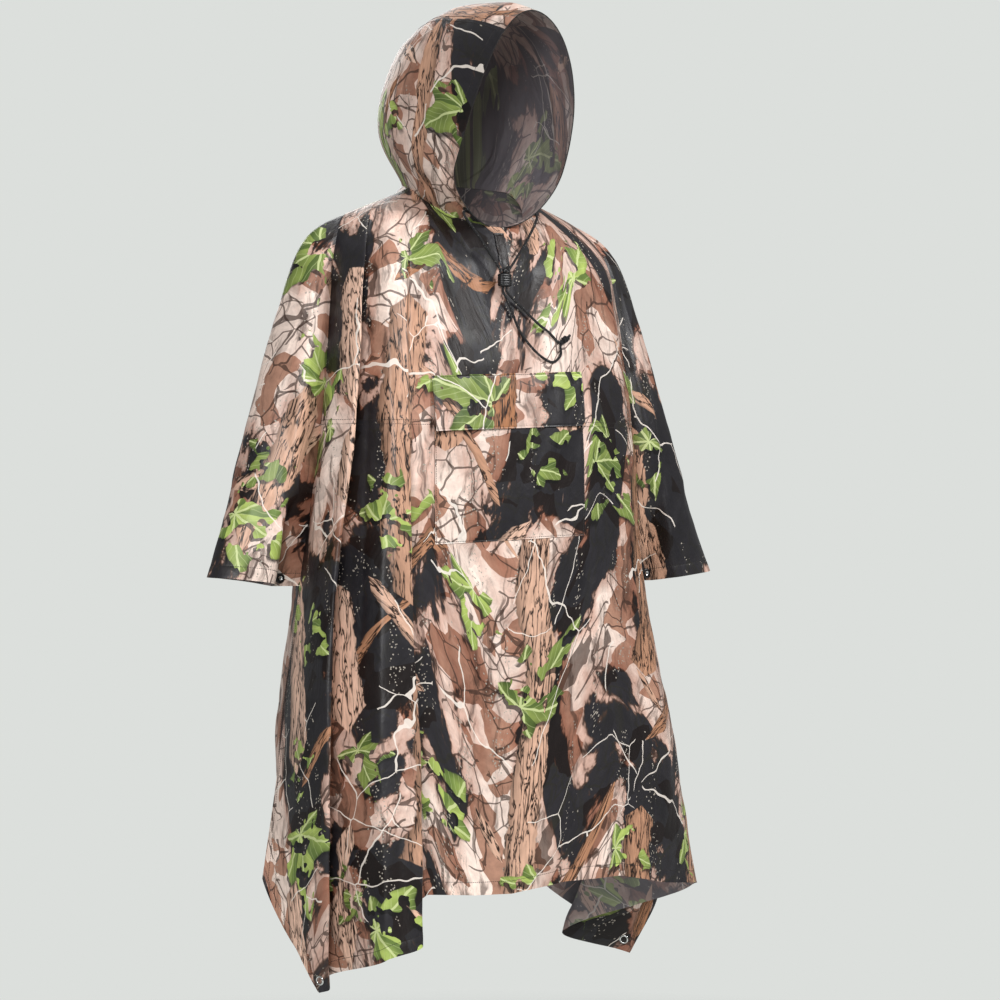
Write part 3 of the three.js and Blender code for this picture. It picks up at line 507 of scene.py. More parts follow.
def make_leaf_group():
    """One leaf with pointed lobes in each square of a turned grid.

    Gives whether a place is on it, how deep inside, the distance from the nearest lobe's rib, which side of the rib,
    the distance from the leaf's foot, and a random pick, all in leaf lengths.
    """
    tree, given, result = new_group(
        "leaf", {"Place": VECTOR, "Cell": FLOAT, "Length": FLOAT, "Share": FLOAT, "Turn": FLOAT, "Seed": FLOAT},
        {"Inside": FLOAT, "Rib": FLOAT, "Side": FLOAT, "Reach": FLOAT, "Pick": FLOAT, "Depth": FLOAT},
    )
    place, cell, length, share, turn, seed = given.outputs[:6]
    ragged = add(tree, "ShaderNodeTexNoise", place, named={"Scale": 26, "Detail": 2, "Roughness": 0.6})
    shift = add(tree, VMATH, ragged.outputs["Color"], (0.5, 0.5, 0.5), operation="SUBTRACT")
    moved = add(tree, VMATH, shift, (0.011, 0.011, 0.011), place, operation="MULTIPLY_ADD")
    turned = add(tree, "ShaderNodeVectorRotate", moved, named={"Angle": turn}, rotation_type="Z_AXIS")
    inverse = add(tree, MATH, 1.0, cell, operation="DIVIDE")
    scaled = add(tree, VMATH, turned, named={"Scale": inverse}, operation="SCALE")
    square = add(tree, VMATH, scaled, operation="FLOOR")
    inside = add(tree, VMATH, scaled, square, operation="SUBTRACT")
    centred = add(tree, VMATH, inside, (0.5, 0.5, 0), operation="SUBTRACT")
    chance = add(tree, "ShaderNodeTexWhiteNoise", square, seed, noise_dimensions="4D")
    random = add(tree, "ShaderNodeSeparateColor", chance.outputs["Color"])
    sway = add(tree, VMATH, chance.outputs["Color"], (0.5, 0.5, 0.5), operation="SUBTRACT")
    placed = add(tree, VMATH, sway, (-0.24, -0.24, 0), centred, operation="MULTIPLY_ADD")
    ratio = add(tree, MATH, cell, length, operation="DIVIDE")
    sized = add(tree, VMATH, placed, named={"Scale": ratio}, operation="SCALE")
    angle = add(tree, MATH, random.outputs[2], 2 * math.pi, operation="MULTIPLY")
    laid = add(tree, "ShaderNodeVectorRotate", sized, named={"Angle": angle}, rotation_type="Z_AXIS")
    from_foot = add(tree, VMATH, laid, (0.16, 0, 0), operation="ADD")
    axes = add(tree, "ShaderNodeSeparateXYZ", from_foot)
    reach = add(tree, VMATH, from_foot, operation="LENGTH").outputs["Value"]
    swing = add(tree, MATH, axes.outputs[1], axes.outputs[0], operation="ARCTAN2")
    swing = add(tree, MATH, swing, operation="ABSOLUTE")
    # lobes stand 52 degrees apart round the foot, and get shorter towards it
    lobe = add(tree, MATH, swing, 1.102, operation="MULTIPLY")
    nearest = add(tree, MATH, lobe, operation="ROUND")
    side = add(tree, MATH, lobe, nearest, operation="SUBTRACT")
    off = add(tree, MATH, side, operation="ABSOLUTE")
    point = add(tree, MATH, off, -2.0, 1.0, operation="MULTIPLY_ADD", use_clamp=True)
    point = add(tree, MATH, point, 1.15, operation="POWER")
    teeth = add(tree, MATH, reach, 46.0, operation="MULTIPLY")
    teeth = add(tree, MATH, teeth, operation="SINE")
    point = add(tree, MATH, teeth, 0.05, point, operation="MULTIPLY_ADD")
    point = add(tree, MATH, point, 0.44, 0.56, operation="MULTIPLY_ADD")
    shorter = add(tree, MATH, lobe, -0.2, 0.66, operation="MULTIPLY_ADD", use_clamp=True)
    edge = add(tree, MATH, point, shorter, operation="MULTIPLY")
    depth = add(tree, MATH, edge, reach, operation="SUBTRACT")
    rib = add(tree, MATH, off, reach, operation="MULTIPLY")
    crisp = add(tree, MATH, depth, 90.0, operation="MULTIPLY", use_clamp=True)
    there = add(tree, MATH, random.outputs[0], share, operation="LESS_THAN")
    shown = add(tree, MATH, crisp, there, operation="MULTIPLY")
    here = add(tree, MATH, depth, there, operation="MULTIPLY")
    for name, value in (
        ("Inside", shown), ("Rib", rib), ("Side", side), ("Reach", reach), ("Pick", random.outputs[1]), ("Depth", here),
    ):
        tree.links.new(value if isinstance(value, bpy.types.NodeSocket) else value.outputs[0], result.inputs[name])
    return tree


def make_trunk_group():
    """Wavering stems side by side: how far inside, across from edge to edge, a random pick, and the place turned."""
    tree, given, result = new_group(
        "trunk", {"Place": VECTOR, "Spacing": FLOAT, "Width": FLOAT, "Turn": FLOAT, "Seed": FLOAT, "Share": FLOAT},
        {"Inside": FLOAT, "Across": FLOAT, "Pick": FLOAT, "Turned": VECTOR},
    )
    place, spacing, width, turn, seed, share = given.outputs[:6]
    turned = add(tree, "ShaderNodeVectorRotate", place, named={"Angle": turn}, rotation_type="Z_AXIS")
    slow = add(tree, VMATH, turned, (0.35, 1, 1), operation="MULTIPLY")
    bending = add(tree, "ShaderNodeTexNoise", slow, named={"W": seed, "Scale": 4.2, "Detail": 1}, noise_dimensions="4D")
    sway = add(tree, MATH, bending, -0.5, operation="ADD")
    axes = add(tree, "ShaderNodeSeparateXYZ", turned)
    aside = add(tree, MATH, sway, 0.13, axes.outputs[0], operation="MULTIPLY_ADD")
    count = add(tree, MATH, aside, spacing, operation="DIVIDE")
    number = add(tree, MATH, count, operation="FLOOR")
    part = add(tree, MATH, count, number, operation="SUBTRACT")
    key = add(tree, MATH, number, seed, operation="ADD")
    chance = add(tree, "ShaderNodeTexWhiteNoise", named={"W": key}, noise_dimensions="1D")
    random = add(tree, "ShaderNodeSeparateColor", chance.outputs["Color"])
    offset = add(tree, MATH, random.outputs[0], -0.4, -0.3, operation="MULTIPLY_ADD")
    centred = add(tree, MATH, part, offset, operation="ADD")
    metres = add(tree, MATH, centred, spacing, operation="MULTIPLY")
    growth = add(tree, MATH, random.outputs[1], 0.7, 0.65, operation="MULTIPLY_ADD")
    half = add(tree, MATH, width, growth, operation="MULTIPLY")
    across = add(tree, MATH, metres, half, operation="DIVIDE")
    away = add(tree, MATH, across, operation="ABSOLUTE")
    rough = add(tree, "ShaderNodeTexNoise", turned, named={"Scale": 60, "Detail": 2})
    edge = add(tree, MATH, rough, -0.5, 1.22, operation="MULTIPLY_ADD")
    stretch = add(tree, VMATH, turned, (0.2, 1.6, 1), operation="MULTIPLY")
    gaps = add(tree, "ShaderNodeTexNoise", stretch, named={"W": key, "Scale": 3.0, "Detail": 1}, noise_dimensions="4D")
    over = add(tree, MATH, share, gaps, operation="SUBTRACT")
    taper = add(tree, MATH, over, 16.0, operation="MULTIPLY", use_clamp=True)
    edge = add(tree, MATH, edge, taper, operation="MULTIPLY")
    inside = add(tree, MATH, edge, away, operation="SUBTRACT")
    shown = add(tree, MATH, inside, 14.0, operation="MULTIPLY", use_clamp=True)
    for name, value in (("Inside", shown), ("Across", across), ("Pick", random.outputs[2]), ("Turned", turned)):
        tree.links.new(value if isinstance(value, bpy.types.NodeSocket) else value.outputs[0], result.inputs[name])
    return tree


LEAF = make_leaf_group()
TRUNK = make_trunk_group()

# Colours of the print, near those of the photograph
INK = {
    "charcoal": "#0f0f12", "slate": "#2a282c", "earth": "#4d382d", "pink": "#cda797", "pale": "#f2dccf",
    "bark": "#a4714f", "bark_pale": "#e2bca6", "crack": "#241712", "lime": "#a9bb62", "olive": "#64793a",
    "rib": "#d3dca0", "deep": "#34441f", "speck": "#a39b90", "twig": "#ece2d8", "stem": "#3d2a22", "shade": "#0d0c0b",
}
INK = {name: colour(value) for name, value in INK.items()}

# Layers of stems: spacing, half width and turn in metres and degrees, seed, share shown
STEMS = [(0.36, 0.013, 52, 11.0, 0.5), (0.31, 0.010, -41, 23.0, 0.47), (0.2, 0.032, 4, 3.0, 0.55)]
# Layers of leaves: grid square, leaf length, share, turn, seed
LEAVES = [(0.185, 0.14, 0.42, 14, 9.0), (0.262, 0.2, 0.74, 37, 5.0)]


def make_print_group():
    """Print of leaves, bark and twigs on charcoal and pale ground. Place is in metres on the flat cloth."""
    tree, given, result = new_group("woodland_print", {"Place": VECTOR}, {"Color": COLOR})
    place = given.outputs[0]
    drift = add(tree, "ShaderNodeTexNoise", place, named={"Scale": 9, "Detail": 3})
    drift = add(tree, VMATH, drift.outputs["Color"], (0.5, 0.5, 0.5), operation="SUBTRACT")
    warped = add(tree, VMATH, drift, (0.06, 0.06, 0.06), place, operation="MULTIPLY_ADD")
    tall = add(tree, VMATH, place, (1, 0.55, 1), operation="MULTIPLY")
    ground = add(tree, "ShaderNodeTexNoise", tall, named={"Scale": 6.2, "Detail": 6, "Roughness": 0.58, "Distortion": 0.6})
    ramp = add(tree, "ShaderNodeValToRGB", ground)
    stops = ramp.color_ramp.elements
    for at, name in ((0.0, "charcoal"), (0.482, "slate"), (0.491, "earth"), (0.501, "pink"), (0.6, "pale")):
        stop = stops[0] if at == 0 else stops.new(at)
        stop.position, stop.color = at, INK[name]
    stops[-1].color = INK["pale"]

    # faint facets, upright streaks of litter, and thin dark stems in the ground
    facets = add(tree, "ShaderNodeTexVoronoi", warped, named={"Scale": 24, "Randomness": 1.0})
    tone = add(tree, "ShaderNodeSeparateColor", facets.outputs["Color"])
    lighter = add(tree, MATH, tone.outputs[0], 0.3, 0.76, operation="MULTIPLY_ADD")
    base = add(tree, MIX, 0.9, ramp, lighter, blend_type="MULTIPLY")
    browner = add(tree, MATH, tone.outputs[1], 0.3, operation="LESS_THAN")
    browner = add(tree, MATH, browner, 0.8, operation="MULTIPLY")
    base = add(tree, MIX, browner, base, INK["bark"], blend_type="MULTIPLY")
    upright = add(tree, VMATH, warped, (55, 9, 1), operation="MULTIPLY")
    litter = add(tree, "ShaderNodeTexNoise", upright, named={"Scale": 1.0, "Detail": 4, "Roughness": 0.65, "Distortion": 1.0})
    dark = add(tree, MATH, litter, 9.0, -4.75, operation="MULTIPLY_ADD", use_clamp=True)
    dark = add(tree, MATH, dark, 0.7, operation="MULTIPLY")
    base = add(tree, MIX, dark, base, INK["stem"], blend_type="DARKEN")
    for scale, width, seed in ((13, 0.022, 1.3), (27, 0.03, 5.1)):
        shifted = add(tree, VMATH, warped, (seed, -seed, 0), operation="ADD")
        webs = add(tree, "ShaderNodeTexVoronoi", shifted, named={"Scale": scale, "Randomness": 1.0}, feature="DISTANCE_TO_EDGE")
        thin = add(tree, MATH, webs, width, operation="LESS_THAN")
        run = add(tree, "ShaderNodeTexNoise", shifted, named={"Scale": 9.0, "Detail": 1})
        there = add(tree, MATH, run, 0.5, operation="GREATER_THAN")
        shown = add(tree, MATH, thin, there, operation="MULTIPLY")
        shown = add(tree, MATH, shown, 0.8, operation="MULTIPLY")
        base = add(tree, MIX, shown, base, INK["stem"], blend_type="DARKEN")
    specks = add(tree, "ShaderNodeTexVoronoi", place, named={"Scale": 210, "Randomness": 1.0})
    speck = add(tree, MATH, specks, 0.26, operation="LESS_THAN")
    crowd = add(tree, "ShaderNodeTexNoise", upright, named={"Scale": 0.5, "Detail": 3, "Roughness": 0.7})
    crowd = add(tree, MATH, crowd, 0.56, operation="GREATER_THAN")
    speck = add(tree, MATH, speck, crowd, operation="MULTIPLY")
    base = add(tree, MIX, speck, base, INK["speck"])
    mottle = add(tree, "ShaderNodeTexNoise", warped, named={"Scale": 70, "Detail": 4, "Roughness": 0.7})
    mottle = add(tree, MATH, mottle, 1.0, 0.45, operation="MULTIPLY_ADD")
    base = add(tree, MIX, 0.8, base, mottle, blend_type="MULTIPLY")

    for spacing, width, turn, seed, share in STEMS:
        stem = add(tree, "ShaderNodeGroup", node_tree=TRUNK)
        for name, value in (
            ("Place", place), ("Spacing", spacing), ("Width", width), ("Turn", math.radians(turn)), ("Seed", seed),
            ("Share", share),
        ):
            if isinstance(value, bpy.types.NodeSocket):
                tree.links.new(value, stem.inputs[name])
            else:
                stem.inputs[name].default_value = value
        inside, across, pick, turned = stem.outputs
        # bark: long wavering dark cracks in a grained brown or pale skin, darker to one side
        plates = add(tree, VMATH, turned, (95, 17, 1), operation="MULTIPLY")
        rough = add(tree, "ShaderNodeTexNoise", plates, named={"Scale": 1.0, "Detail": 3, "Roughness": 0.6, "Distortion": 0.7})
        cracks = add(tree, MATH, rough, -0.5, operation="ADD")
        cracks = add(tree, MATH, cracks, operation="ABSOLUTE")
        ridge = add(tree, MATH, cracks, 24.0, -0.25, operation="MULTIPLY_ADD", use_clamp=True)
        skin = add(tree, MIX, pick, INK["bark"], INK["bark_pale"])
        grain = add(tree, "ShaderNodeTexNoise", plates, named={"Scale": 2.4, "Detail": 3})
        grain = add(tree, MATH, grain, 1.2, 0.4, operation="MULTIPLY_ADD")
        skin = add(tree, MIX, 0.8, skin, grain, blend_type="MULTIPLY")
        skin = add(tree, MIX, ridge, INK["crack"], skin)
        side = add(tree, MATH, across, -0.25, operation="ADD")
        side = add(tree, MATH, side, side, operation="MULTIPLY")
        side = add(tree, MATH, side, -0.62, 1.12, operation="MULTIPLY_ADD", use_clamp=True)
        skin = add(tree, MIX, 0.8, skin, side, blend_type="MULTIPLY")
        base = add(tree, MIX, inside, base, skin)

    for cell, length, share, turn, seed in LEAVES:
        layers = []
        for shift in ((0.004, 0.006, 0), (0, 0, 0)):
            moved = add(tree, VMATH, place, shift, operation="ADD")
            leaf = add(tree, "ShaderNodeGroup", moved, node_tree=LEAF)
            for name, value in (
                ("Cell", cell), ("Length", length), ("Share", share), ("Turn", math.radians(turn)), ("Seed", seed),
            ):
                leaf.inputs[name].default_value = value
            layers.append(leaf)
        shadow, leaf = layers
        soft = add(tree, MATH, shadow.outputs["Depth"], 22.0, operation="MULTIPLY", use_clamp=True)
        soft = add(tree, MATH, soft, 0.8, operation="MULTIPLY")
        base = add(tree, MIX, soft, base, INK["shade"])
        inside, rib, side, reach, pick, depth = leaf.outputs
        halves = add(tree, MATH, side, 1.6, 0.45, operation="MULTIPLY_ADD", use_clamp=True)
        blade = add(tree, MIX, halves, INK["olive"], INK["lime"])
        older = add(tree, MATH, pick, 0.66, operation="GREATER_THAN")
        older = add(tree, MATH, older, 0.5, operation="MULTIPLY")
        blade = add(tree, MIX, older, blade, INK["deep"])
        blotch = add(tree, "ShaderNodeTexNoise", place, named={"Scale": 34, "Detail": 3})
        blotch = add(tree, MATH, blotch, 1.3, 0.35, operation="MULTIPLY_ADD")
        blade = add(tree, MIX, 0.75, blade, blotch, blend_type="MULTIPLY")
        edge = add(tree, MATH, depth, 12.0, 0.35, operation="MULTIPLY_ADD", use_clamp=True)
        blade = add(tree, MIX, 0.6, blade, edge, blend_type="MULTIPLY")
        slant = add(tree, MATH, rib, -1.5, reach, operation="MULTIPLY_ADD")
        veins = add(tree, MATH, slant, 78.0, operation="MULTIPLY")
        veins = add(tree, MATH, veins, operation="SINE")
        veins = add(tree, MATH, veins, 7.0, -6.1, operation="MULTIPLY_ADD", use_clamp=True)
        veins = add(tree, MATH, veins, 0.45, operation="MULTIPLY")
        middle = add(tree, MATH, rib, 0.009, operation="LESS_THAN")
        lines = add(tree, MATH, veins, middle, operation="MAXIMUM")
        lines = add(tree, MATH, lines, 0.7, operation="MULTIPLY")
        blade = add(tree, MIX, lines, blade, INK["rib"])
        base = add(tree, MIX, inside, base, blade)

    # pale twigs over everything
    for scale, width, share, seed in ((4.6, 0.0042, 0.52, 0.0), (8.3, 0.0058, 0.56, 3.7)):
        shifted = add(tree, VMATH, warped, (seed, seed * 0.6, 0), operation="ADD")
        webs = add(tree, "ShaderNodeTexVoronoi", shifted, named={"Scale": scale, "Randomness": 1.0}, feature="DISTANCE_TO_EDGE")
        thin = add(tree, MATH, webs, width, operation="LESS_THAN")
        run = add(tree, "ShaderNodeTexNoise", shifted, named={"Scale": 5.0, "Detail": 1})
        there = add(tree, MATH, run, share, operation="GREATER_THAN")
        shown = add(tree, MATH, thin, there, operation="MULTIPLY")
        shown = add(tree, MATH, shown, 0.8, operation="MULTIPLY")
        base = add(tree, MIX, shown, base, INK["twig"])
    tree.links.new(base.outputs[0], result.inputs[0])
    return tree


PRINT = make_print_group()


def new_material(name):
    material = bpy.data.materials.new(name)
    material.use_nodes = True
    tree = material.node_tree
    tree.nodes.clear()
    shader = add(tree, "ShaderNodeBsdfPrincipled")
    add(tree, "ShaderNodeOutputMaterial", shader)
    return material, tree, shader


def cloth_material(name, wash, roughness, share):
    """Coated polyester taffeta: a tight smooth weave under a thin film, so a soft low gloss and faint crinkles."""
    material, tree, shader = new_material(name)
    place = add(tree, "ShaderNodeUVMap", uv_map="cloth")
    dyed = add(tree, "ShaderNodeGroup", place, node_tree=PRINT)
    base = add(tree, MIX, share, dyed, colour(wash))
    tree.links.new(base.outputs[0], shader.inputs["Base Color"])
    shader.inputs["Roughness"].default_value = roughness
    shader.inputs["IOR"].default_value = 1.5
    shader.inputs["Specular IOR Level"].default_value = 0.32
    stretched = add(tree, VMATH, place, (1, 0.45, 1), operation="MULTIPLY")
    crinkle = add(tree, "ShaderNodeTexNoise", stretched, named={"Scale": 24, "Detail": 4, "Roughness": 0.55, "Distortion": 1.2})
    # threads lie 0.12 mm apart, too fine to show, so they are drawn 0.9 mm apart
    weave = add(tree, "ShaderNodeTexWave", place, named={"Scale": 350, "Distortion": 0.4}, bands_direction="DIAGONAL")
    coarse = add(tree, MATH, crinkle, 1.0, operation="MULTIPLY")
    height = add(tree, MATH, weave, 0.012, coarse, operation="MULTIPLY_ADD")
    bump = add(tree, "ShaderNodeBump", named={"Strength": 0.55, "Distance": 0.004, "Height": height})
    tree.links.new(bump.outputs[0], shader.inputs["Normal"])
    return material


def plain_material(name, base, **sockets):
    material, tree, shader = new_material(name)
    shader.inputs["Base Color"].default_value = colour(base)
    for socket, value in sockets.items():
        shader.inputs[socket.replace("_", " ")].default_value = value
    return material, tree, shader


def make_materials():
    made = {
        "outer": cloth_material("printed_coated_polyester", "#000000", 0.4, 0.0),
        "inner": cloth_material("polyester_wrong_side", "#98939a", 0.58, 0.5),
    }
    # folded cloth edge: painted shade, drawn as a dark line along every edge of the cloth where its folds fall into
    # shade
    made["edge"] = plain_material("edge_painted_shade", "#1b1918", Roughness=0.6)[0]
    made["thread"] = plain_material("polyester_thread", "#2b2724", Roughness=0.7)[0]

    material, tree, shader = plain_material("moulded_acetal", "#141416", Roughness=0.38, IOR=1.48)
    grit = add(tree, "ShaderNodeTexNoise", add(tree, "ShaderNodeTexCoord").outputs["Object"], named={"Scale": 1800})
    bump = add(tree, "ShaderNodeBump", named={"Strength": 0.12, "Distance": 0.0004, "Height": grit})
    tree.links.new(bump.outputs[0], shader.inputs["Normal"])
    made["plastic"] = material

    material, tree, shader = plain_material("nickel_plate", "#d4d5d3", Roughness=0.2, Metallic=1.0)
    scratch = add(tree, "ShaderNodeTexNoise", add(tree, "ShaderNodeTexCoord").outputs["Object"], named={"Scale": 900, "Detail": 3})
    bump = add(tree, "ShaderNodeBump", named={"Strength": 0.1, "Distance": 0.0002, "Height": scratch})
    tree.links.new(bump.outputs[0], shader.inputs["Normal"])
    made["nickel"] = material

    # braided polyester cord: strands cross at a slant, with a light tracer yarn every few millimetres
    material, tree, shader = new_material("braided_cord")
    run = add(tree, "ShaderNodeUVMap", uv_map="cord")
    axes = add(tree, "ShaderNodeSeparateXYZ", run)
    strands = []
    for lean in (1, -1):
        phase = add(tree, MATH, axes.outputs[1], 8.0 * lean, operation="MULTIPLY")
        phase = add(tree, MATH, axes.outputs[0], 700.0, phase, operation="MULTIPLY_ADD")
        phase = add(tree, MATH, phase, 2 * math.pi, operation="MULTIPLY")
        strands.append(add(tree, MATH, phase, operation="SINE"))
    braid = add(tree, MATH, *strands, operation="MULTIPLY")
    cell = add(tree, VMATH, run, (260, 5, 1), operation="MULTIPLY")
    fleck = add(tree, "ShaderNodeTexVoronoi", cell, named={"Scale": 1.0, "Randomness": 0.6})
    light = add(tree, MATH, fleck, 0.2, operation="LESS_THAN")
    light = add(tree, MATH, light, 0.7, operation="MULTIPLY")
    base = add(tree, MIX, light, colour("#161618"), colour("#8b8a84"))
    tree.links.new(base.outputs[0], shader.inputs["Base Color"])
    shader.inputs["Roughness"].default_value = 0.62
    bump = add(tree, "ShaderNodeBump", named={"Strength": 0.6, "Distance": 0.0005, "Height": braid})
    tree.links.new(bump.outputs[0], shader.inputs["Normal"])
    made["cord"] = material
    return made


MATERIALS = make_materials()

# Cloth pieces

WALL = 0.45  # half the shell's thickness, in millimetres
HEM = {"width": 20, "fold": 0.5, "stitch": 18.5}


def new_mesh(name, vertices, faces, materials, face_materials=None, uvs=None, uv_name="cloth"):
    mesh = bpy.data.meshes.new(name)
    mesh.from_pydata((np.asarray(vertices) * MM).tolist(), [], [list(map(int, face)) for face in faces])
    for material in materials:
        mesh.materials.append(MATERIALS[material])
    if face_materials is not None:
        mesh.polygons.foreach_set("material_index", np.asarray(face_materials, dtype=np.int32))
    if uvs is not None:
        corners = np.zeros(len(mesh.loops), dtype=np.int32)
        mesh.loops.foreach_get("vertex_index", corners)
        layer = mesh.uv_layers.new(name=uv_name)
        layer.data.foreach_set("uv", np.asarray(uvs, dtype=np.float32)[corners].ravel())
    mesh.shade_smooth()
    mesh.set_sharp_from_angle(angle=math.radians(55))
    piece = bpy.data.objects.new(name, mesh)
    scene.collection.objects.link(piece)
    return piece


def shell(name, outer, inner, uvs):
    """Closed thin shell between two grids of points, with the print outside, its wrong side inside and edges painted
    dark as shade.
    """
    rows, columns = outer.shape[:2]
    index = np.arange(rows * columns).reshape(rows, columns)
    under = index + rows * columns
    a, b, c, d = index[:-1, :-1], index[1:, :-1], index[1:, 1:], index[:-1, 1:]
    quads = [np.stack([a, b, c, d], -1).reshape(-1, 4)]
    a, b, c, d = (part + rows * columns for part in (a, b, c, d))
    quads.append(np.stack([a, d, c, b], -1).reshape(-1, 4))
    edges = [
        np.stack([index[:-1, 0], under[:-1, 0], under[1:, 0], index[1:, 0]], -1),
        np.stack([index[:-1, -1], index[1:, -1], under[1:, -1], under[:-1, -1]], -1),
        np.stack([index[0, :-1], index[0, 1:], under[0, 1:], under[0, :-1]], -1),
        np.stack([index[-1, :-1], under[-1, :-1], under[-1, 1:], index[-1, 1:]], -1),
    ]
    faces = np.concatenate([*quads, *edges])
    # the rim faces take the third material, a dark painted shade along the cloth's edges
    kinds = np.repeat([0, 1, 2], [len(quads[0]), len(quads[1]), sum(map(len, edges))])
    places = np.concatenate([outer.reshape(-1, 3), inner.reshape(-1, 3)])
    return new_mesh(name, places, faces, ["outer", "inner", "edge"], kinds, np.tile(uvs.reshape(-1, 2), (2, 1)))


def spread_columns(surface, across, downs, size, crisp=()):
    """Places across a sheet about size millimetres apart, and closer round its crisp folds."""
    fine = np.linspace(*across, 1201)
    lengths = []
    for down in downs:
        places = surface(fine, np.full(len(fine), down))
        lengths.append(np.cumsum(np.linalg.norm(np.diff(places, axis=0, prepend=places[:1]), axis=-1)))
    length = np.max(lengths, axis=0)
    count = int(math.ceil(length[-1] / size))
    columns = list(np.interp(np.linspace(0, length[-1], count + 1), length, fine))
    for fold in crisp:
        columns += [fold + side * near for side in (-1, 1) for near in (0.03, 0.08, 0.14)]
    return np.unique(np.round(columns, 5))


def hem_rows(surface, columns, first, last, size, hemmed=True):
    """Table rows of each column: about size millimetres apart, with close rows of fixed width at the hem."""
    end_speed = speed(surface, columns, np.full(len(columns), last - 0.02), 0, STEP)
    band = np.array([26, 23, 20.5, 19.3, 18.5, 17.7, 15, 10, 5, 2, 0.6, 0]) if hemmed else np.array([0])
    middle = surface(np.full(400, columns[len(columns) // 2]), np.linspace(first, last, 400))
    count = int(np.linalg.norm(np.diff(middle, axis=0), axis=-1).sum() / size)
    body = np.linspace(0, 1, max(count, 4) + 1)[:-1 if not hemmed else None]
    stop = last - band[0] / end_speed
    upper = first + (stop - first)[None] * body[:, None]
    lower = last - band[1 if hemmed else 0:, None] / end_speed[None]
    return np.concatenate([upper, lower])


def hem_out(distance):
    """How far a hem stands out on the right side and on the wrong side, by distance from the edge."""
    folded = 1 - smooth(distance, HEM["width"] - 0.8, HEM["width"] + 0.8)
    drawn = np.exp(-(((distance - HEM["stitch"]) / 1.3) ** 2)) * 0.4
    return folded * HEM["fold"] * 0.4 - drawn, folded * HEM["fold"] - drawn


def cloth_piece(name, surface, flat, relief, across, down, shift, edge_distance=None):
    """Shell over arrays of table places. shift moves the print; edge_distance gives the millimetres to a hem."""
    middle = surface(across, down)
    outward = outward_at(surface, across, down)
    out = relief(across, down)
    right, wrong = hem_out(edge_distance) if edge_distance is not None else (0 * out, 0 * out)
    outer = middle + outward * (out + WALL + right)[..., None]
    inner = middle + outward * (out - WALL - wrong)[..., None]
    uvs = flat(across, down) * (MM, -MM) + np.array(shift)
    piece = shell(name, outer, inner, uvs)
    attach(piece, "root")
    return piece


def grid_of(columns, rows):
    return np.broadcast_to(columns, rows.shape)


FRONT_CRISP = [i for i, fold in enumerate(FRONT_FOLDS) if fold[1] <= 0.5]


def make_body():
    columns = spread_columns(front_surface, (0, LAST_FRONT), (1.5, 3, 4, 4.9), 4.2, FRONT_CRISP)
    upper = np.linspace(0, SEAM_ROW, 58)[:, None] + 0 * columns
    cloth_piece(
        "front_upper_cloth", front_surface, front_flat, front_relief, grid_of(columns, upper), upper, (0.43, 0.21))
    lower = hem_rows(front_surface, columns, SEAM_ROW, HEM_ROW, 7.5)
    ends = speed(front_surface, columns, np.full(len(columns), HEM_ROW - 0.02), 0, STEP)
    cloth_piece(
        "front_lower_cloth", front_surface, front_flat, front_relief, grid_of(columns, lower), lower, (0.43, 0.21),
        (HEM_ROW - lower) * ends)
    columns = spread_columns(back_surface, (0, LAST_BACK), (1.5, 3, 4, 4.9), 5)
    rows = hem_rows(back_surface, columns, 0, HEM_ROW, 7.5)
    ends = speed(back_surface, columns, np.full(len(columns), HEM_ROW - 0.02), 0, STEP)
    cloth_piece(
        "back_cloth", back_surface, back_flat, back_relief, grid_of(columns, rows), rows, (2.13, 0.67),
        (HEM_ROW - rows) * ends)


SLEEVES = {}


def sleeve_fade(across, row):
    return smooth(np.minimum(across, 6 - across), 0.05, 0.6) * smooth(row, ARMHOLE_ROW, ARMHOLE_ROW + 1)


def make_sleeves():
    for name, side, shift in (("sleeve_right", -1, (3.37, 0.05)), ("sleeve_left", 1, (4.81, 0.33))):
        surface = sleeve_surface(side)
        flat = flat_map(surface, (0, 6), (ARMHOLE_ROW + 0.02, CUFF_ROW), 3)
        relief = relief_of(flat, SLEEVE_CREASES, sleeve_fade)
        columns = spread_columns(surface, (0, 6), (6, 9, 11, 12), 4.4, (1, 5))
        rows = hem_rows(surface, columns, ARMHOLE_ROW + 0.02, CUFF_ROW, 6.5)
        ends = speed(surface, columns, np.full(len(columns), CUFF_ROW - 0.02), 0, STEP)
        cloth_piece(
            f"{name}_cloth", surface, flat, relief, grid_of(columns, rows), rows, shift, (CUFF_ROW - rows) * ends)
        SLEEVES[name] = (surface, flat, relief)


# The hood's sides stand about this far round an upright line, which lays their print flat
HOOD_ROUND = {"y": -16, "radius": 135}


def make_hood():
    panels = (
        ("hood_left", 0, HOOD_SEAM, (6.2, 0.4)), ("hood_crown", HOOD_SEAM, 2 - HOOD_SEAM, (7.7, 0.9)),
        ("hood_right", 2 - HOOD_SEAM, 2, (8.57, 0.12)),
    )
    def side_flat(across, back):
        place = hood_surface(across, back)
        swing = np.arctan2(place[..., 1] - HOOD_ROUND["y"], np.abs(place[..., 0]))
        return np.stack([HOOD_ROUND["radius"] * swing, np.abs(hood_flat(across, back)[..., 0])], axis=-1)

    for name, first, last, shift in panels:
        flat = hood_flat if name == "hood_crown" else side_flat
        columns = spread_columns(hood_surface, (first, last), (0, 2, 3, 5), 4)
        # the face edge is the hood's casing, so the rows are counted from the nape
        rows = NAPE_ROW - hem_rows(
            lambda across, back: hood_surface(across, NAPE_ROW - back), columns, 0, NAPE_ROW, 5.5)
        rows = rows[::-1]
        ends = speed(hood_surface, columns, np.full(len(columns), 0.02), 0, STEP)
        cloth_piece(
            f"{name}_cloth", hood_surface, flat, hood_relief, grid_of(columns, rows), rows, shift, rows * ends)


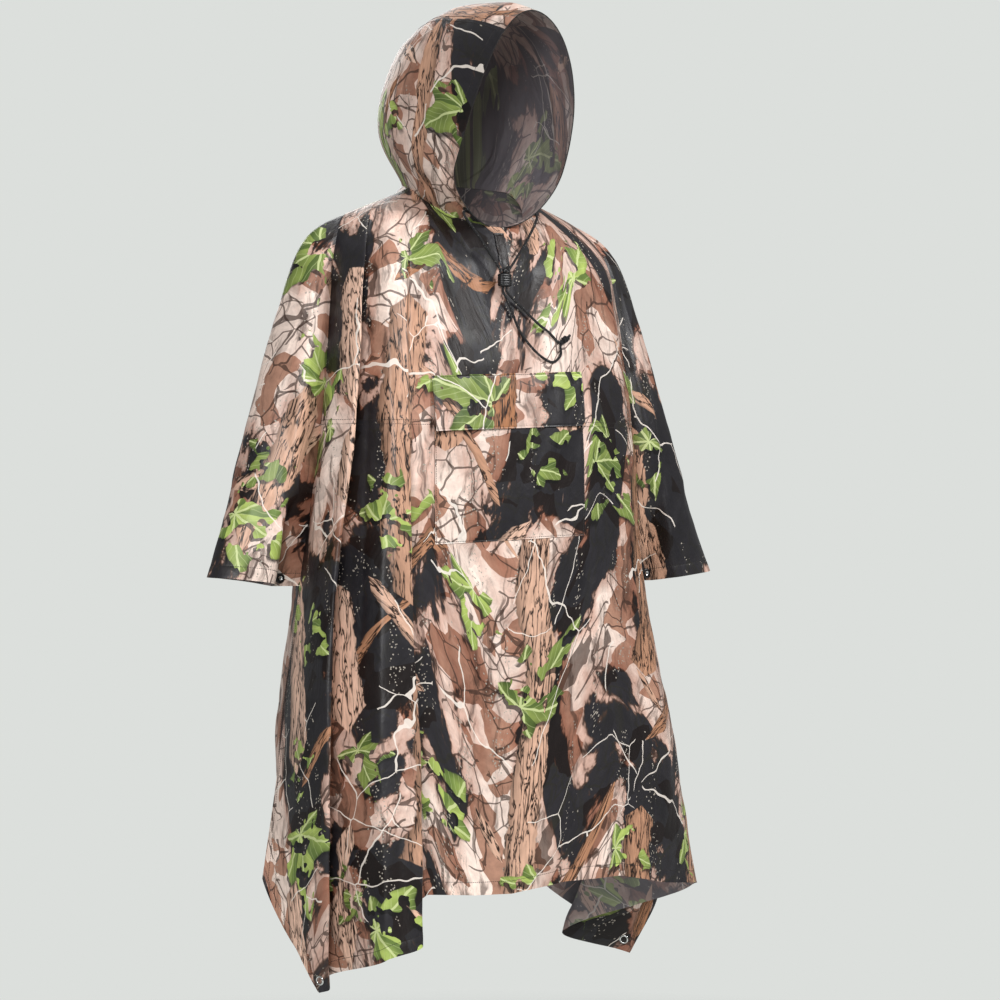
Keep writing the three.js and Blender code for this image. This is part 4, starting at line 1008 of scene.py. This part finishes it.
def on_front(x, z):
    """Table places on the front where it has that x and z."""
    across, down = np.full(x.shape, 9.0), np.full(x.shape, 2.0)
    for _ in range(14):
        place = front_surface(across, down)
        by_across = (front_surface(across + STEP, down) - place) / STEP
        by_down = (front_surface(across, down + STEP) - place) / STEP
        miss_x, miss_z = x - place[..., 0], z - place[..., 2]
        scale = by_across[..., 0] * by_down[..., 2] - by_down[..., 0] * by_across[..., 2]
        across = np.clip(across + np.clip((miss_x * by_down[..., 2] - by_down[..., 0] * miss_z) / scale, -1, 1), 7, 12)
        down = np.clip(down + np.clip((by_across[..., 0] * miss_z - miss_x * by_across[..., 2]) / scale, -1, 1), 0.05, 4)
    return across, down


def patch(name, x_of, z_of, lift_of, shift, size=3.6):
    """Cloth laid on the front: its own outline in x and z, and its height above the front cloth."""
    width = abs(x_of(np.array(1.0), 0) - x_of(np.array(0.0), 0))
    height = abs(z_of(0.5, np.array(1.0)) - z_of(0.5, np.array(0.0)))
    near = np.array([0, 0.6, 1.4, 2.2, 3.2, 5])
    u = np.unique(np.concatenate([np.linspace(0, 1, int(width / size)), near / width, 1 - near / width]))
    v = np.unique(np.concatenate([np.linspace(0, 1, int(height / size)), near / height, 1 - near / height]))
    u, v = np.meshgrid(u, v)
    across, down = on_front(x_of(u, v), z_of(u, v))
    border = np.minimum.reduce([u * width, (1 - u) * width, v * height, (1 - v) * height])
    drawn = -0.5 * np.exp(-(((border - 2.2) / 0.9) ** 2))
    middle = front_surface(across, down)
    outward = outward_at(front_surface, across, down)
    out = front_relief(across, down) + lift_of(u, v) + drawn
    uvs = np.stack([x_of(u, v), z_of(u, v)], axis=-1) * MM + np.array(shift)
    piece = shell(
        name, middle + outward * (out + WALL)[..., None], middle + outward * (out - WALL)[..., None], uvs)
    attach(piece, "root")
    return piece


LAYER = SOLID_CLOTH + SOLID_GAP


def pocket_x(u, v=0):
    return POCKET["left"] + (POCKET["right"] - POCKET["left"]) * u + 0 * v


def pocket_z(u, height):
    return height + POCKET["tilt"] * pocket_x(u)


def make_patches():
    def pocket_height(u, v):
        puff = np.sin(math.pi * u) * np.sin(math.pi * v)
        folds = 1.2 * np.sin(math.pi * v) * np.cos(5.2 * u + 2.0 * v) * np.sin(math.pi * u)
        return LAYER - 0.6 + POCKET["lift"] * puff + folds * puff

    patch(
        "pocket_cloth", pocket_x,
        lambda u, v: pocket_z(u, POCKET["top"] + (POCKET["bottom"] - POCKET["top"]) * v),
        pocket_height, (9.83, 0.7))
    patch(
        "pocket_flap_cloth", lambda u, v: pocket_x(u) + 4 * (u - 0.5),
        lambda u, v: pocket_z(u, FLAP["top"] + (FLAP["bottom"] - FLAP["top"]) * v),
        lambda u, v: LAYER + FLAP["rise"] + LAYER * np.minimum(1, v * 4) + FLAP["flare"] * v * v * (1 - u) ** 2
        + 1.2 * v * np.sin(7 * u + 1), (11.21, 0.95))
    patch(
        "neck_placket_cloth",
        lambda u, v: PLACKET["left"] + (PLACKET["right"] - PLACKET["left"]) * u + 0 * v,
        lambda u, v: PLACKET["top"] + (PLACKET["bottom"] - PLACKET["top"]) * v + 0 * u,
        lambda u, v: LAYER + 0 * u, (12.02, 0.33))


make_body()
make_sleeves()
make_hood()
make_patches()

# Stitching: short threads along every sewn line

STITCH = {"pitch": 3.4, "length": 2.3, "radius": 0.33}


def sewn_line(surface, relief, across, down, rise):
    """Places of a sewn line just above the cloth."""
    out = relief(across, down) + WALL + rise
    return surface(across, down) + outward_at(surface, across, down) * out[..., None]


def make_stitch_tree():
    tree = bpy.data.node_groups.new("stitch_run", "GeometryNodeTree")
    tree.interface.new_socket("Line", in_out="INPUT", socket_type="NodeSocketGeometry")
    for name in ("Pitch", "Length", "Radius"):
        tree.interface.new_socket(name, in_out="INPUT", socket_type="NodeSocketFloat")
    tree.interface.new_socket("Stitches", in_out="OUTPUT", socket_type="NodeSocketGeometry")
    given = add(tree, "NodeGroupInput")
    line, pitch, length, radius = given.outputs[:4]
    curve = add(tree, "GeometryNodeMeshToCurve", line)
    points = add(tree, "GeometryNodeCurveToPoints", curve, named={"Length": pitch}, mode="LENGTH")
    thread = add(
        tree, "GeometryNodeMeshCylinder", named={"Vertices": 6, "Radius": radius, "Depth": length}, fill_type="NGON")
    heading = add(tree, "FunctionNodeAlignRotationToVector", named={"Vector": points.outputs["Tangent"]}, axis="Z")
    laid = add(
        tree, "GeometryNodeInstanceOnPoints", points,
        named={"Instance": thread.outputs["Mesh"], "Rotation": heading.outputs[0]})
    real = add(tree, "GeometryNodeRealizeInstances", laid)
    finished = add(tree, "GeometryNodeSetMaterial", real, named={"Material": MATERIALS["thread"]})
    add(tree, "NodeGroupOutput", finished)
    return tree


STITCH_TREE = make_stitch_tree()


def stitched(name, lines):
    """One piece of stitching along several lines of places."""
    vertices, edges = [], []
    for line in lines:
        start = len(vertices)
        vertices += (line * MM).tolist()
        edges += [(start + i, start + i + 1) for i in range(len(line) - 1)]
    mesh = bpy.data.meshes.new(name + "_line")
    mesh.from_pydata(vertices, edges, [])
    guide = bpy.data.objects.new(name + "_line", mesh)
    scene.collection.objects.link(guide)
    modifier = guide.modifiers.new("stitch", "NODES")
    modifier.node_group = STITCH_TREE
    for item in STITCH_TREE.interface.items_tree:
        if item.in_out == "INPUT" and item.name.lower() in STITCH:
            modifier[item.identifier] = STITCH[item.name.lower()] * MM
    graph = bpy.context.evaluated_depsgraph_get()
    made = bpy.data.meshes.new_from_object(guide.evaluated_get(graph))
    bpy.data.objects.remove(guide)
    piece = bpy.data.objects.new(name, made)
    made.name = name
    scene.collection.objects.link(piece)
    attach(piece, "root")
    return piece


def hem_line(surface, relief, first, last, end, distance, rise):
    across = np.linspace(first, last, 260)
    ends = speed(surface, across, np.full(len(across), end - 0.02), 0, STEP)
    return sewn_line(surface, relief, across, end - distance / ends, rise)


def make_stitches():
    hem = -0.05
    front = [hem_line(front_surface, front_relief, 0.05, LAST_FRONT - 0.05, HEM_ROW, HEM["stitch"], hem)]
    across = np.linspace(0.1, LAST_FRONT - 0.1, 260)
    for row in (SEAM_ROW - 0.012, SEAM_ROW + 0.016):
        front.append(sewn_line(front_surface, front_relief, across, np.full(len(across), row), 0.1))
    down = np.linspace(3.1, HEM_ROW - 0.08, 120)
    for edge in (0.12, LAST_FRONT - 0.12):
        front.append(sewn_line(front_surface, front_relief, np.full(len(down), edge), down, 0.1))
    stitched("front_stitching", front)
    back = [hem_line(back_surface, back_relief, 0.05, LAST_BACK - 0.05, HEM_ROW, HEM["stitch"], hem)]
    for edge in (0.16, LAST_BACK - 0.16):
        back.append(sewn_line(back_surface, back_relief, np.full(len(down), edge), down, 0.1))
    stitched("back_stitching", back)
    sleeves = [
        hem_line(surface, relief, 0.05, 5.95, CUFF_ROW, HEM["stitch"], hem)
        for surface, _, relief in SLEEVES.values()
    ]
    stitched("cuff_stitching", sleeves)
    hood = []
    rows = np.linspace(0.05, NAPE_ROW - 0.1, 160)
    for seam in (HOOD_SEAM, 2 - HOOD_SEAM):
        for aside in (-0.017, 0.017):
            hood.append(sewn_line(hood_surface, hood_relief, np.full(len(rows), seam + aside), rows, 0.1))
    across = np.linspace(0.04, 1.96, 220)
    ends = speed(hood_surface, across, np.full(len(across), 0.02), 0, STEP)
    hood.append(sewn_line(hood_surface, hood_relief, across, HEM["stitch"] / ends, hem))
    stitched("hood_stitching", hood)

    def patch_line(x, z, lift):
        spot = on_front(x, z)
        return sewn_line(front_surface, front_relief, *spot, lift)

    inset = 2.2
    t = np.linspace(0, 1, 70)
    left, right = POCKET["left"] + inset, POCKET["right"] - inset
    tops = POCKET["tilt"] * np.array([left, right])
    side = FLAP["bottom"] + 4 + (POCKET["bottom"] + inset - FLAP["bottom"] - 4) * t
    low = POCKET["bottom"] + inset
    seat = LAYER - 0.9
    lines = [
        patch_line(left + 0 * t, side + tops[0], seat), patch_line(right + 0 * t, side + tops[1], seat),
        patch_line(left + (right - left) * t, low + POCKET["tilt"] * (left + (right - left) * t), seat),
        patch_line(left + (right - left) * t, FLAP["top"] - inset + POCKET["tilt"] * (left + (right - left) * t),
                   LAYER + 0.2),
    ]
    stitched("pocket_stitching", lines)


make_stitches()

# Hardware


def turned(name, profile, place, outward, segments, materials, bands=None):
    """A closed ring or button turned round outward, from a profile of radius and height; bands gives the material
    of each step of the profile."""
    outward = unit(np.asarray(outward, float))
    side = unit(np.cross(outward, (0.31, 0.52, 0.79)))
    up = np.cross(outward, side)
    angles = np.linspace(0, 2 * math.pi, segments, endpoint=False)
    ring = np.cos(angles)[:, None] * side + np.sin(angles)[:, None] * up
    places = np.array([np.asarray(place) + ring * radius + outward * height for radius, height in profile])
    rows = len(profile)
    index = np.arange(rows * segments).reshape(rows, segments)
    nxt = np.roll(index, -1, axis=1)
    faces, kinds = [], []
    for j in range(rows):
        k = (j + 1) % rows
        faces += np.stack([index[j], nxt[j], nxt[k], index[k]], -1).tolist()
        kinds += [bands[j] if bands else 0] * segments
    mesh_piece = new_mesh(name, places.reshape(-1, 3), faces, materials, kinds)
    close(mesh_piece)
    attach(mesh_piece, "root")
    return mesh_piece


def close(piece):
    """Merges doubled points, such as those at a button's poles, and turns all faces outwards."""
    import bmesh
    work = bmesh.new()
    work.from_mesh(piece.data)
    bmesh.ops.remove_doubles(work, verts=work.verts, dist=1e-6)
    bmesh.ops.dissolve_degenerate(work, edges=work.edges, dist=1e-7)
    bmesh.ops.recalc_face_normals(work, faces=work.faces)
    work.to_mesh(piece.data)
    work.free()


def arc(radius_0, height_0, radius_1, height_1, bulge, steps):
    """A profile stretch that bulges to its left by a share of its length."""
    t = np.linspace(0, 1, steps)
    run = np.array((radius_1 - radius_0, height_1 - height_0))
    normal = np.array((-run[1], run[0]))
    return [
        tuple(np.array((radius_0, height_0)) + run * f + normal * bulge * math.sin(math.pi * f)) for f in t
    ]


def seat_on(surface, relief, across, down):
    a, d = np.array([across], float), np.array([down], float)
    outward = outward_at(surface, a, d)[0]
    return surface(a, d)[0] + outward * relief(a, d)[0], outward


def make_grommets():
    corner = HEM_ROW - GROMMET_RISE
    seats = {
        "front_right": (front_surface, front_relief, 1.2), "front_left": (front_surface, front_relief, LAST_FRONT - 1.1),
        "back_left": (back_surface, back_relief, 1.2), "back_right": (back_surface, back_relief, LAST_BACK - 1.2),
    }
    inside, face = WALL + 0.25, WALL + 0.5 + GROMMET["plate"]
    bore, flange = GROMMET["bore"], GROMMET["flange"]
    middle = (bore + flange) / 2
    for name, (surface, relief, across) in seats.items():
        place, outward = seat_on(surface, relief, across, corner)
        profile = (
            arc(bore, 0, bore + 0.35, face * 0.8, -0.1, 4) + arc(bore + 0.35, face * 0.8, middle, face + 0.35, 0.12, 5)[1:]
            + arc(middle, face + 0.35, flange, inside, 0.16, 6)[1:] + [(flange - 0.3, inside - 0.2), (bore + 0.6, inside - 0.2)]
            + [(bore + 0.6, 0.1 - inside), (flange - 0.3, 0.1 - inside)] + arc(flange, -inside, middle, -face, 0.14, 5)
            + arc(middle, -face, bore, 0, 0.12, 5)[1:-1]
        )
        piece = turned(f"grommet_ring_{name}", profile, place, outward, 48, ["nickel"])
        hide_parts(f"grommet_{name}")


def make_snaps():
    for name, side in (("right", -1), ("left", 1)):
        surface, _, relief = SLEEVES[f"sleeve_{name}"]
        rise = SNAP["rise"] / abs(ARM_LINE[CUFF_ROW, 2] - ARM_LINE[CUFF_ROW - 1, 2])
        share = SNAP["from_end"] / PINCH["reach"]
        across = (share, 6 - share) if side > 0 else (6 - share, share)
        front, front_out = seat_on(surface, relief, across[0], CUFF_ROW - rise)
        rear, rear_out = seat_on(surface, relief, across[1], CUFF_ROW - rise)
        outward = unit(front_out - rear_out)
        half = np.linalg.norm(front - rear) / 2 + WALL + 0.3
        face, cap = half + SNAP["thickness"], SNAP["cap"]
        dome = [(0.0001, face - 0.7), (1.6, face - 0.75), (2.5, face - 0.5), (3.1, face + 0.05)]
        front_side = dome + arc(3.1, face + 0.05, cap - 0.9, face - 0.25, 0.06, 4)[1:] + arc(cap - 0.9, face - 0.25, cap, half, 0.18, 5)[1:]
        back_side = [(radius, -height) for radius, height in front_side[::-1]]
        profile = front_side + [(2, half), (2, -half)] + back_side
        bands = [1, 1, 1] + [0] * (len(profile) - 7) + [1, 1, 1, 0]
        piece = turned(f"snap_{name}", profile, (front + rear) / 2, outward, 40, ["plastic", "nickel"], bands)
        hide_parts(f"cuff_snap_{name}")


CORD_SIDES = 14


def tube(name, path, diameter, material="cord"):
    """A round tube along a path, closed at both ends, with its length and turn as its UV."""
    heading = unit(np.gradient(path, axis=0))
    side = unit(np.cross(heading[0], (0.3, 0.9, 0.2)))
    rings, run = [], 0.0
    uvs = []
    angles = np.linspace(0, 2 * math.pi, CORD_SIDES + 1)
    for i, place in enumerate(path):
        side = unit(side - heading[i] * (side @ heading[i]))
        up = np.cross(heading[i], side)
        rings.append(place + diameter / 2 * (np.cos(angles)[:, None] * side + np.sin(angles)[:, None] * up))
        run += np.linalg.norm(path[i] - path[i - 1]) if i else 0
        uvs.append(np.stack([np.full(len(angles), run * MM), angles / (2 * math.pi)], -1))
    rings = np.array(rings)
    rows, columns = rings.shape[:2]
    index = np.arange(rows * columns).reshape(rows, columns)
    faces = np.stack([index[:-1, :-1], index[:-1, 1:], index[1:, 1:], index[1:, :-1]], -1).reshape(-1, 4).tolist()
    faces += [index[0, :-1][::-1].tolist(), index[-1, :-1].tolist()]
    piece = new_mesh(name, rings.reshape(-1, 3), faces, [material], None, np.array(uvs).reshape(-1, 2), "cord")
    close(piece)
    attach(piece, "root")
    return piece


def smooth_path(points, spacing=1.2):
    """Evenly spaced places on a smooth curve through the points."""
    points = np.asarray(points, float)
    knots = np.concatenate([[0], np.cumsum(np.linalg.norm(np.diff(points, axis=0), axis=1) ** 0.5)])
    padded = np.vstack([2 * points[0] - points[1], points, 2 * points[-1] - points[-2]])
    knots = np.concatenate([[-knots[1]], knots, [2 * knots[-1] - knots[-2]]])
    fine = []
    for i in range(1, len(points)):
        t0, t1, t2, t3 = knots[i - 1:i + 3]
        p0, p1, p2, p3 = padded[i - 1:i + 3]
        t = np.linspace(t1, t2, 24, endpoint=i == len(points) - 1)[:, None]
        a1 = (t1 - t) / (t1 - t0) * p0 + (t - t0) / (t1 - t0) * p1
        a2 = (t2 - t) / (t2 - t1) * p1 + (t - t1) / (t2 - t1) * p2
        a3 = (t3 - t) / (t3 - t2) * p2 + (t - t2) / (t3 - t2) * p3
        b1 = (t2 - t) / (t2 - t0) * a1 + (t - t0) / (t2 - t0) * a2
        b2 = (t3 - t) / (t3 - t1) * a2 + (t - t1) / (t3 - t1) * a3
        fine.append((t2 - t) / (t2 - t1) * b1 + (t - t1) / (t2 - t1) * b2)
    fine = np.vstack(fine)
    length = np.concatenate([[0], np.cumsum(np.linalg.norm(np.diff(fine, axis=0), axis=1))])
    even = np.linspace(0, length[-1], max(int(length[-1] / spacing), 8))
    return np.stack([np.interp(even, length, fine[:, k]) for k in range(3)], axis=-1)


# The drawcord's free ends below the lock: x, z and height above the cloth, as in the CAD model
FREE_END_1 = [(-2, -158, 9), (14, -193, 5), (30, -214, 4), (52, -233, 4), (72, -240, 4), (86, -229, 4.5)]
FREE_END_2 = [(22, -163, 7), (48, -184, 5), (68, -197, 4.5)]


def make_drawcord():
    lock = np.array((LOCK["x"], LOCK["y"], LOCK["z"]), float)
    inside = SOLID_CLOTH / 2 + SOLID_GAP
    for name, side in (("right", -1), ("left", 1)):
        across = EYELET["share"] if side > 0 else 2 - EYELET["share"]
        a, b = np.array([across]), np.array([EYELET["arch"]])
        rim, outward = hood_surface(a, b)[0], outward_at(hood_surface, a, b)[0]
        bore, outer, top = EYELET["bore"], EYELET["outer"], inside + EYELET["thickness"]
        profile = [(bore, inside - 0.6), (outer, inside - 0.6), (outer, inside + 0.2)]
        profile += arc(outer, inside + 0.2, bore, top - 0.2, 0.2, 7)[1:]
        piece = turned(f"eyelet_{name}", profile, rim, outward, 32, ["plastic"])
        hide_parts(f"cord_eyelet_{name}")
        start = rim + outward * (top + SOLID_GAP)
        end = lock + np.array((side * 2.6 * CORD_DIAMETER * 0.75, 0, LOCK["height"] / 2 + SOLID_GAP))
        sag = start + (end - start) * 0.35 + np.array((0, -5, -6))
        last = start + (end - start) * 0.8 + np.array((0, -2, 1))
        path = smooth_path([start, start + outward * 4, sag, last, end + np.array((0, 0, 4)), end])
        tube(f"drawcord_{name}", path, CORD_DIAMETER)
        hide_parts(f"cord_{name}")

    axis = np.array((0.8, 0, 0.6))
    a, d = on_front(np.array([float(KNOT["x"])]), np.array([float(KNOT["z"])]))
    knot_out = outward_at(front_surface, a, d)[0]
    knot = front_surface(a, d)[0] + knot_out * (KNOT["radius"] + 2)
    face = knot - axis * (KNOT["length"] / 2 + SOLID_GAP)
    aside = np.array((0.6, 0, -0.8))
    for name, route, shift, finish in (
        ("1", FREE_END_1, -3, face + aside * 2.2), ("2", FREE_END_2, 3, face - aside * 2.2),
    ):
        start = lock + np.array((shift, 0, -LOCK["height"] / 2 - SOLID_GAP))
        laid = []
        for x, z, lift in route:
            a, d = on_front(np.array([float(x)]), np.array([float(z)]))
            laid.append(front_surface(a, d)[0] + outward_at(front_surface, a, d)[0] * lift)
        path = smooth_path([start, start + np.array((0, 0, -5)), *laid, finish - axis * 5, finish])
        tube(f"drawcord_end_{name}", path, CORD_DIAMETER)
        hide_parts(f"cord_free_end_{name}")

    # the end knot: both strands wrapped twice round themselves, with two short cut tails
    t = np.linspace(0, 1, 90)
    turn = 2 * math.pi * 2.35 * t
    up = unit(np.cross(axis, knot_out))
    radius = 2.9 + 0.5 * np.sin(math.pi * t)
    wrap = (
        knot + axis * ((t - 0.5) * 8.6)[:, None]
        + up * (radius * np.cos(turn))[:, None] + knot_out * (radius * np.sin(turn))[:, None]
    )
    core = knot + axis * ((t - 0.5) * (KNOT["length"] + 7))[:, None]
    core = core + knot_out * (0.8 * np.sin(3 * t))[:, None]
    knot_piece = joined("drawcord_knot", [tube("knot_wrap", wrap, CORD_DIAMETER), tube("knot_core", core, CORD_DIAMETER)])
    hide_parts("cord_knot")
    lock_pieces = make_lock(lock)


def joined(name, pieces):
    with bpy.context.temp_override(active_object=pieces[0], selected_editable_objects=pieces):
        bpy.ops.object.join()
    pieces[0].name = name
    pieces[0].data.name = name
    return pieces[0]


def rounded_tower(name, centre, profile, squareness, steps, material, node):
    """A closed upright form: each row of the profile has a height, half width and half depth."""
    angles = np.linspace(0, 2 * math.pi, steps, endpoint=False)
    places = []
    for height, wide, deep in profile:
        x = np.sign(np.cos(angles)) * np.abs(np.cos(angles)) ** squareness * wide
        y = np.sign(np.sin(angles)) * np.abs(np.sin(angles)) ** squareness * deep
        places.append(np.stack([x, y, np.full(steps, height)], -1) + centre)
    rows = len(profile)
    index = np.arange(rows * steps).reshape(rows, steps)
    nxt = np.roll(index, -1, axis=1)
    faces = []
    for j in range(rows - 1):
        faces += np.stack([index[j], nxt[j], nxt[j + 1], index[j + 1]], -1).tolist()
    faces += [index[0][::-1].tolist(), index[-1].tolist()]
    piece = new_mesh(name, np.array(places).reshape(-1, 3), faces, [material])
    close(piece)
    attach(piece, "root")
    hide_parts(node)
    return piece


def make_lock(centre):
    """Barrel cord lock: a rounded body with a waist of finger ridges, and its spring button on top."""
    half = LOCK["height"] / 2
    wide, deep = LOCK["width"] / 2, LOCK["depth"] / 2
    profile = [(-half, wide - 3.6, deep - 3.2), (-half + 0.5, wide - 2.2, deep - 1.8), (-half + 1.6, wide - 0.9, deep - 0.6)]
    for i, height in enumerate(np.linspace(-half + 3, half - 3, 17)):
        ridge = 0.45 if i % 4 in (1, 2) else 0
        profile.append((height, wide - ridge, deep - ridge))
    profile += [(half - 1.6, wide - 0.7, deep - 0.5), (half - 0.5, wide - 2.0, deep - 1.5), (half, wide - 3.2, deep - 2.6)]
    body = rounded_tower("cord_lock_barrel", centre, profile, 0.72, 56, "plastic", "cord_lock_body")
    top = centre + np.array((0, 0, half + SOLID_GAP))
    profile = [(0, 2.9, 2.9), (0.4, 3.25, 3.25), (4.6, 3.25, 3.25), (5.5, 2.8, 2.8), (6.0, 1.7, 1.7)]
    button = rounded_tower("cord_lock_plunger", top, profile, 0.8, 40, "plastic", "cord_lock_button")
    return [body, button]


make_grommets()
make_snaps()
make_drawcord()


def declare_sheets():
    for node, (width, length, area) in CUTS.items():
        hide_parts(node)


# Cut of what shows of each sheet in metres: width, length, and its area, which is less where the cut isn't a rectangle
CUTS = {
    "front_upper": (0.71, 0.41, 0.214), "front_lower": (1.21, 0.84, 0.748), "back": (0.94, 1.16, 0.76),
    "sleeve_right": (0.375, 0.58, 0.129), "sleeve_left": (0.373, 0.58, 0.129),
    "hood_left": (0.3, 0.43, 0.083), "hood_crown": (0.14, 0.51, 0.0585), "hood_right": (0.3, 0.43, 0.083),
    "pocket": (0.25, 0.227, 0.0547), "pocket_flap": (0.254, 0.091, 0.021), "neck_placket": (0.015, 0.058, 0.00087),
}


declare_sheets()

# Stage and light

FLOOR = -1.49  # where a wearer would stand


def make_stage():
    scene.view_settings.view_transform = "Standard"
    scene.view_settings.look = "None"
    world = bpy.data.worlds.new("studio")
    world.use_nodes = True
    scene.world = world
    tree = world.node_tree
    tree.nodes.clear()
    # the backdrop keeps its pale tone for the camera, and sends out less light than that
    path = add(tree, "ShaderNodeLightPath")
    seen = add(tree, "ShaderNodeBackground", colour("#dcdfdc"), 1.0)
    sent = add(tree, "ShaderNodeBackground", colour("#f2f3f2"), 0.28)
    both = add(tree, "ShaderNodeMixShader", path.outputs["Is Camera Ray"], sent, seen)
    add(tree, "ShaderNodeOutputWorld", both)
    # a matt pale floor that fades out round the poncho, so no edge or horizon shows
    material, tree, shader = plain_material("pale_floor", "#d4d7d4", Roughness=0.9)
    place = add(tree, "ShaderNodeTexCoord").outputs["Object"]
    away = add(tree, VMATH, place, operation="LENGTH").outputs["Value"]
    fade = add(tree, MATH, away, 1.4, -1.7, operation="MULTIPLY_ADD", use_clamp=True)
    clear = add(tree, "ShaderNodeBsdfTransparent")
    mixed = add(tree, "ShaderNodeMixShader", fade, shader, clear)
    output = next(node for node in tree.nodes if node.type == "OUTPUT_MATERIAL")
    tree.links.new(mixed.outputs[0], output.inputs[0])
    angles = np.linspace(0, 2 * math.pi, 96, endpoint=False)
    rim = np.stack([np.cos(angles) * 2.2, np.sin(angles) * 2.2, np.zeros(96)], -1)
    mesh = bpy.data.meshes.new("floor")
    mesh.from_pydata(rim.tolist(), [], [list(range(96))])
    mesh.materials.append(material)
    floor = bpy.data.objects.new("floor", mesh)
    floor.location.z = FLOOR
    scene.collection.objects.link(floor)
    # name, place, target, size, power
    lights = (
        ("key", (1.9, -3.2, 2.0), (0, 0, -0.5), 1.3, 135), ("fill", (-2.6, -3.3, 0.7), (0, 0, -0.2), 1.6, 120),
        ("top", (0.2, 0.4, 3.0), (0, 0, -0.4), 1.6, 34), ("behind", (0.8, 3.2, 1.2), (0, 0, -0.5), 2.2, 40),
    )
    for name, place, target, size, power in lights:
        data = bpy.data.lights.new(name, "AREA")
        data.shape = "DISK"
        data.size = size
        data.energy = power
        light = bpy.data.objects.new(name, data)
        light.location = place
        light.rotation_euler = (Vector(target) - Vector(place)).to_track_quat("-Z", "Y").to_euler()
        scene.collection.objects.link(light)


make_stage()
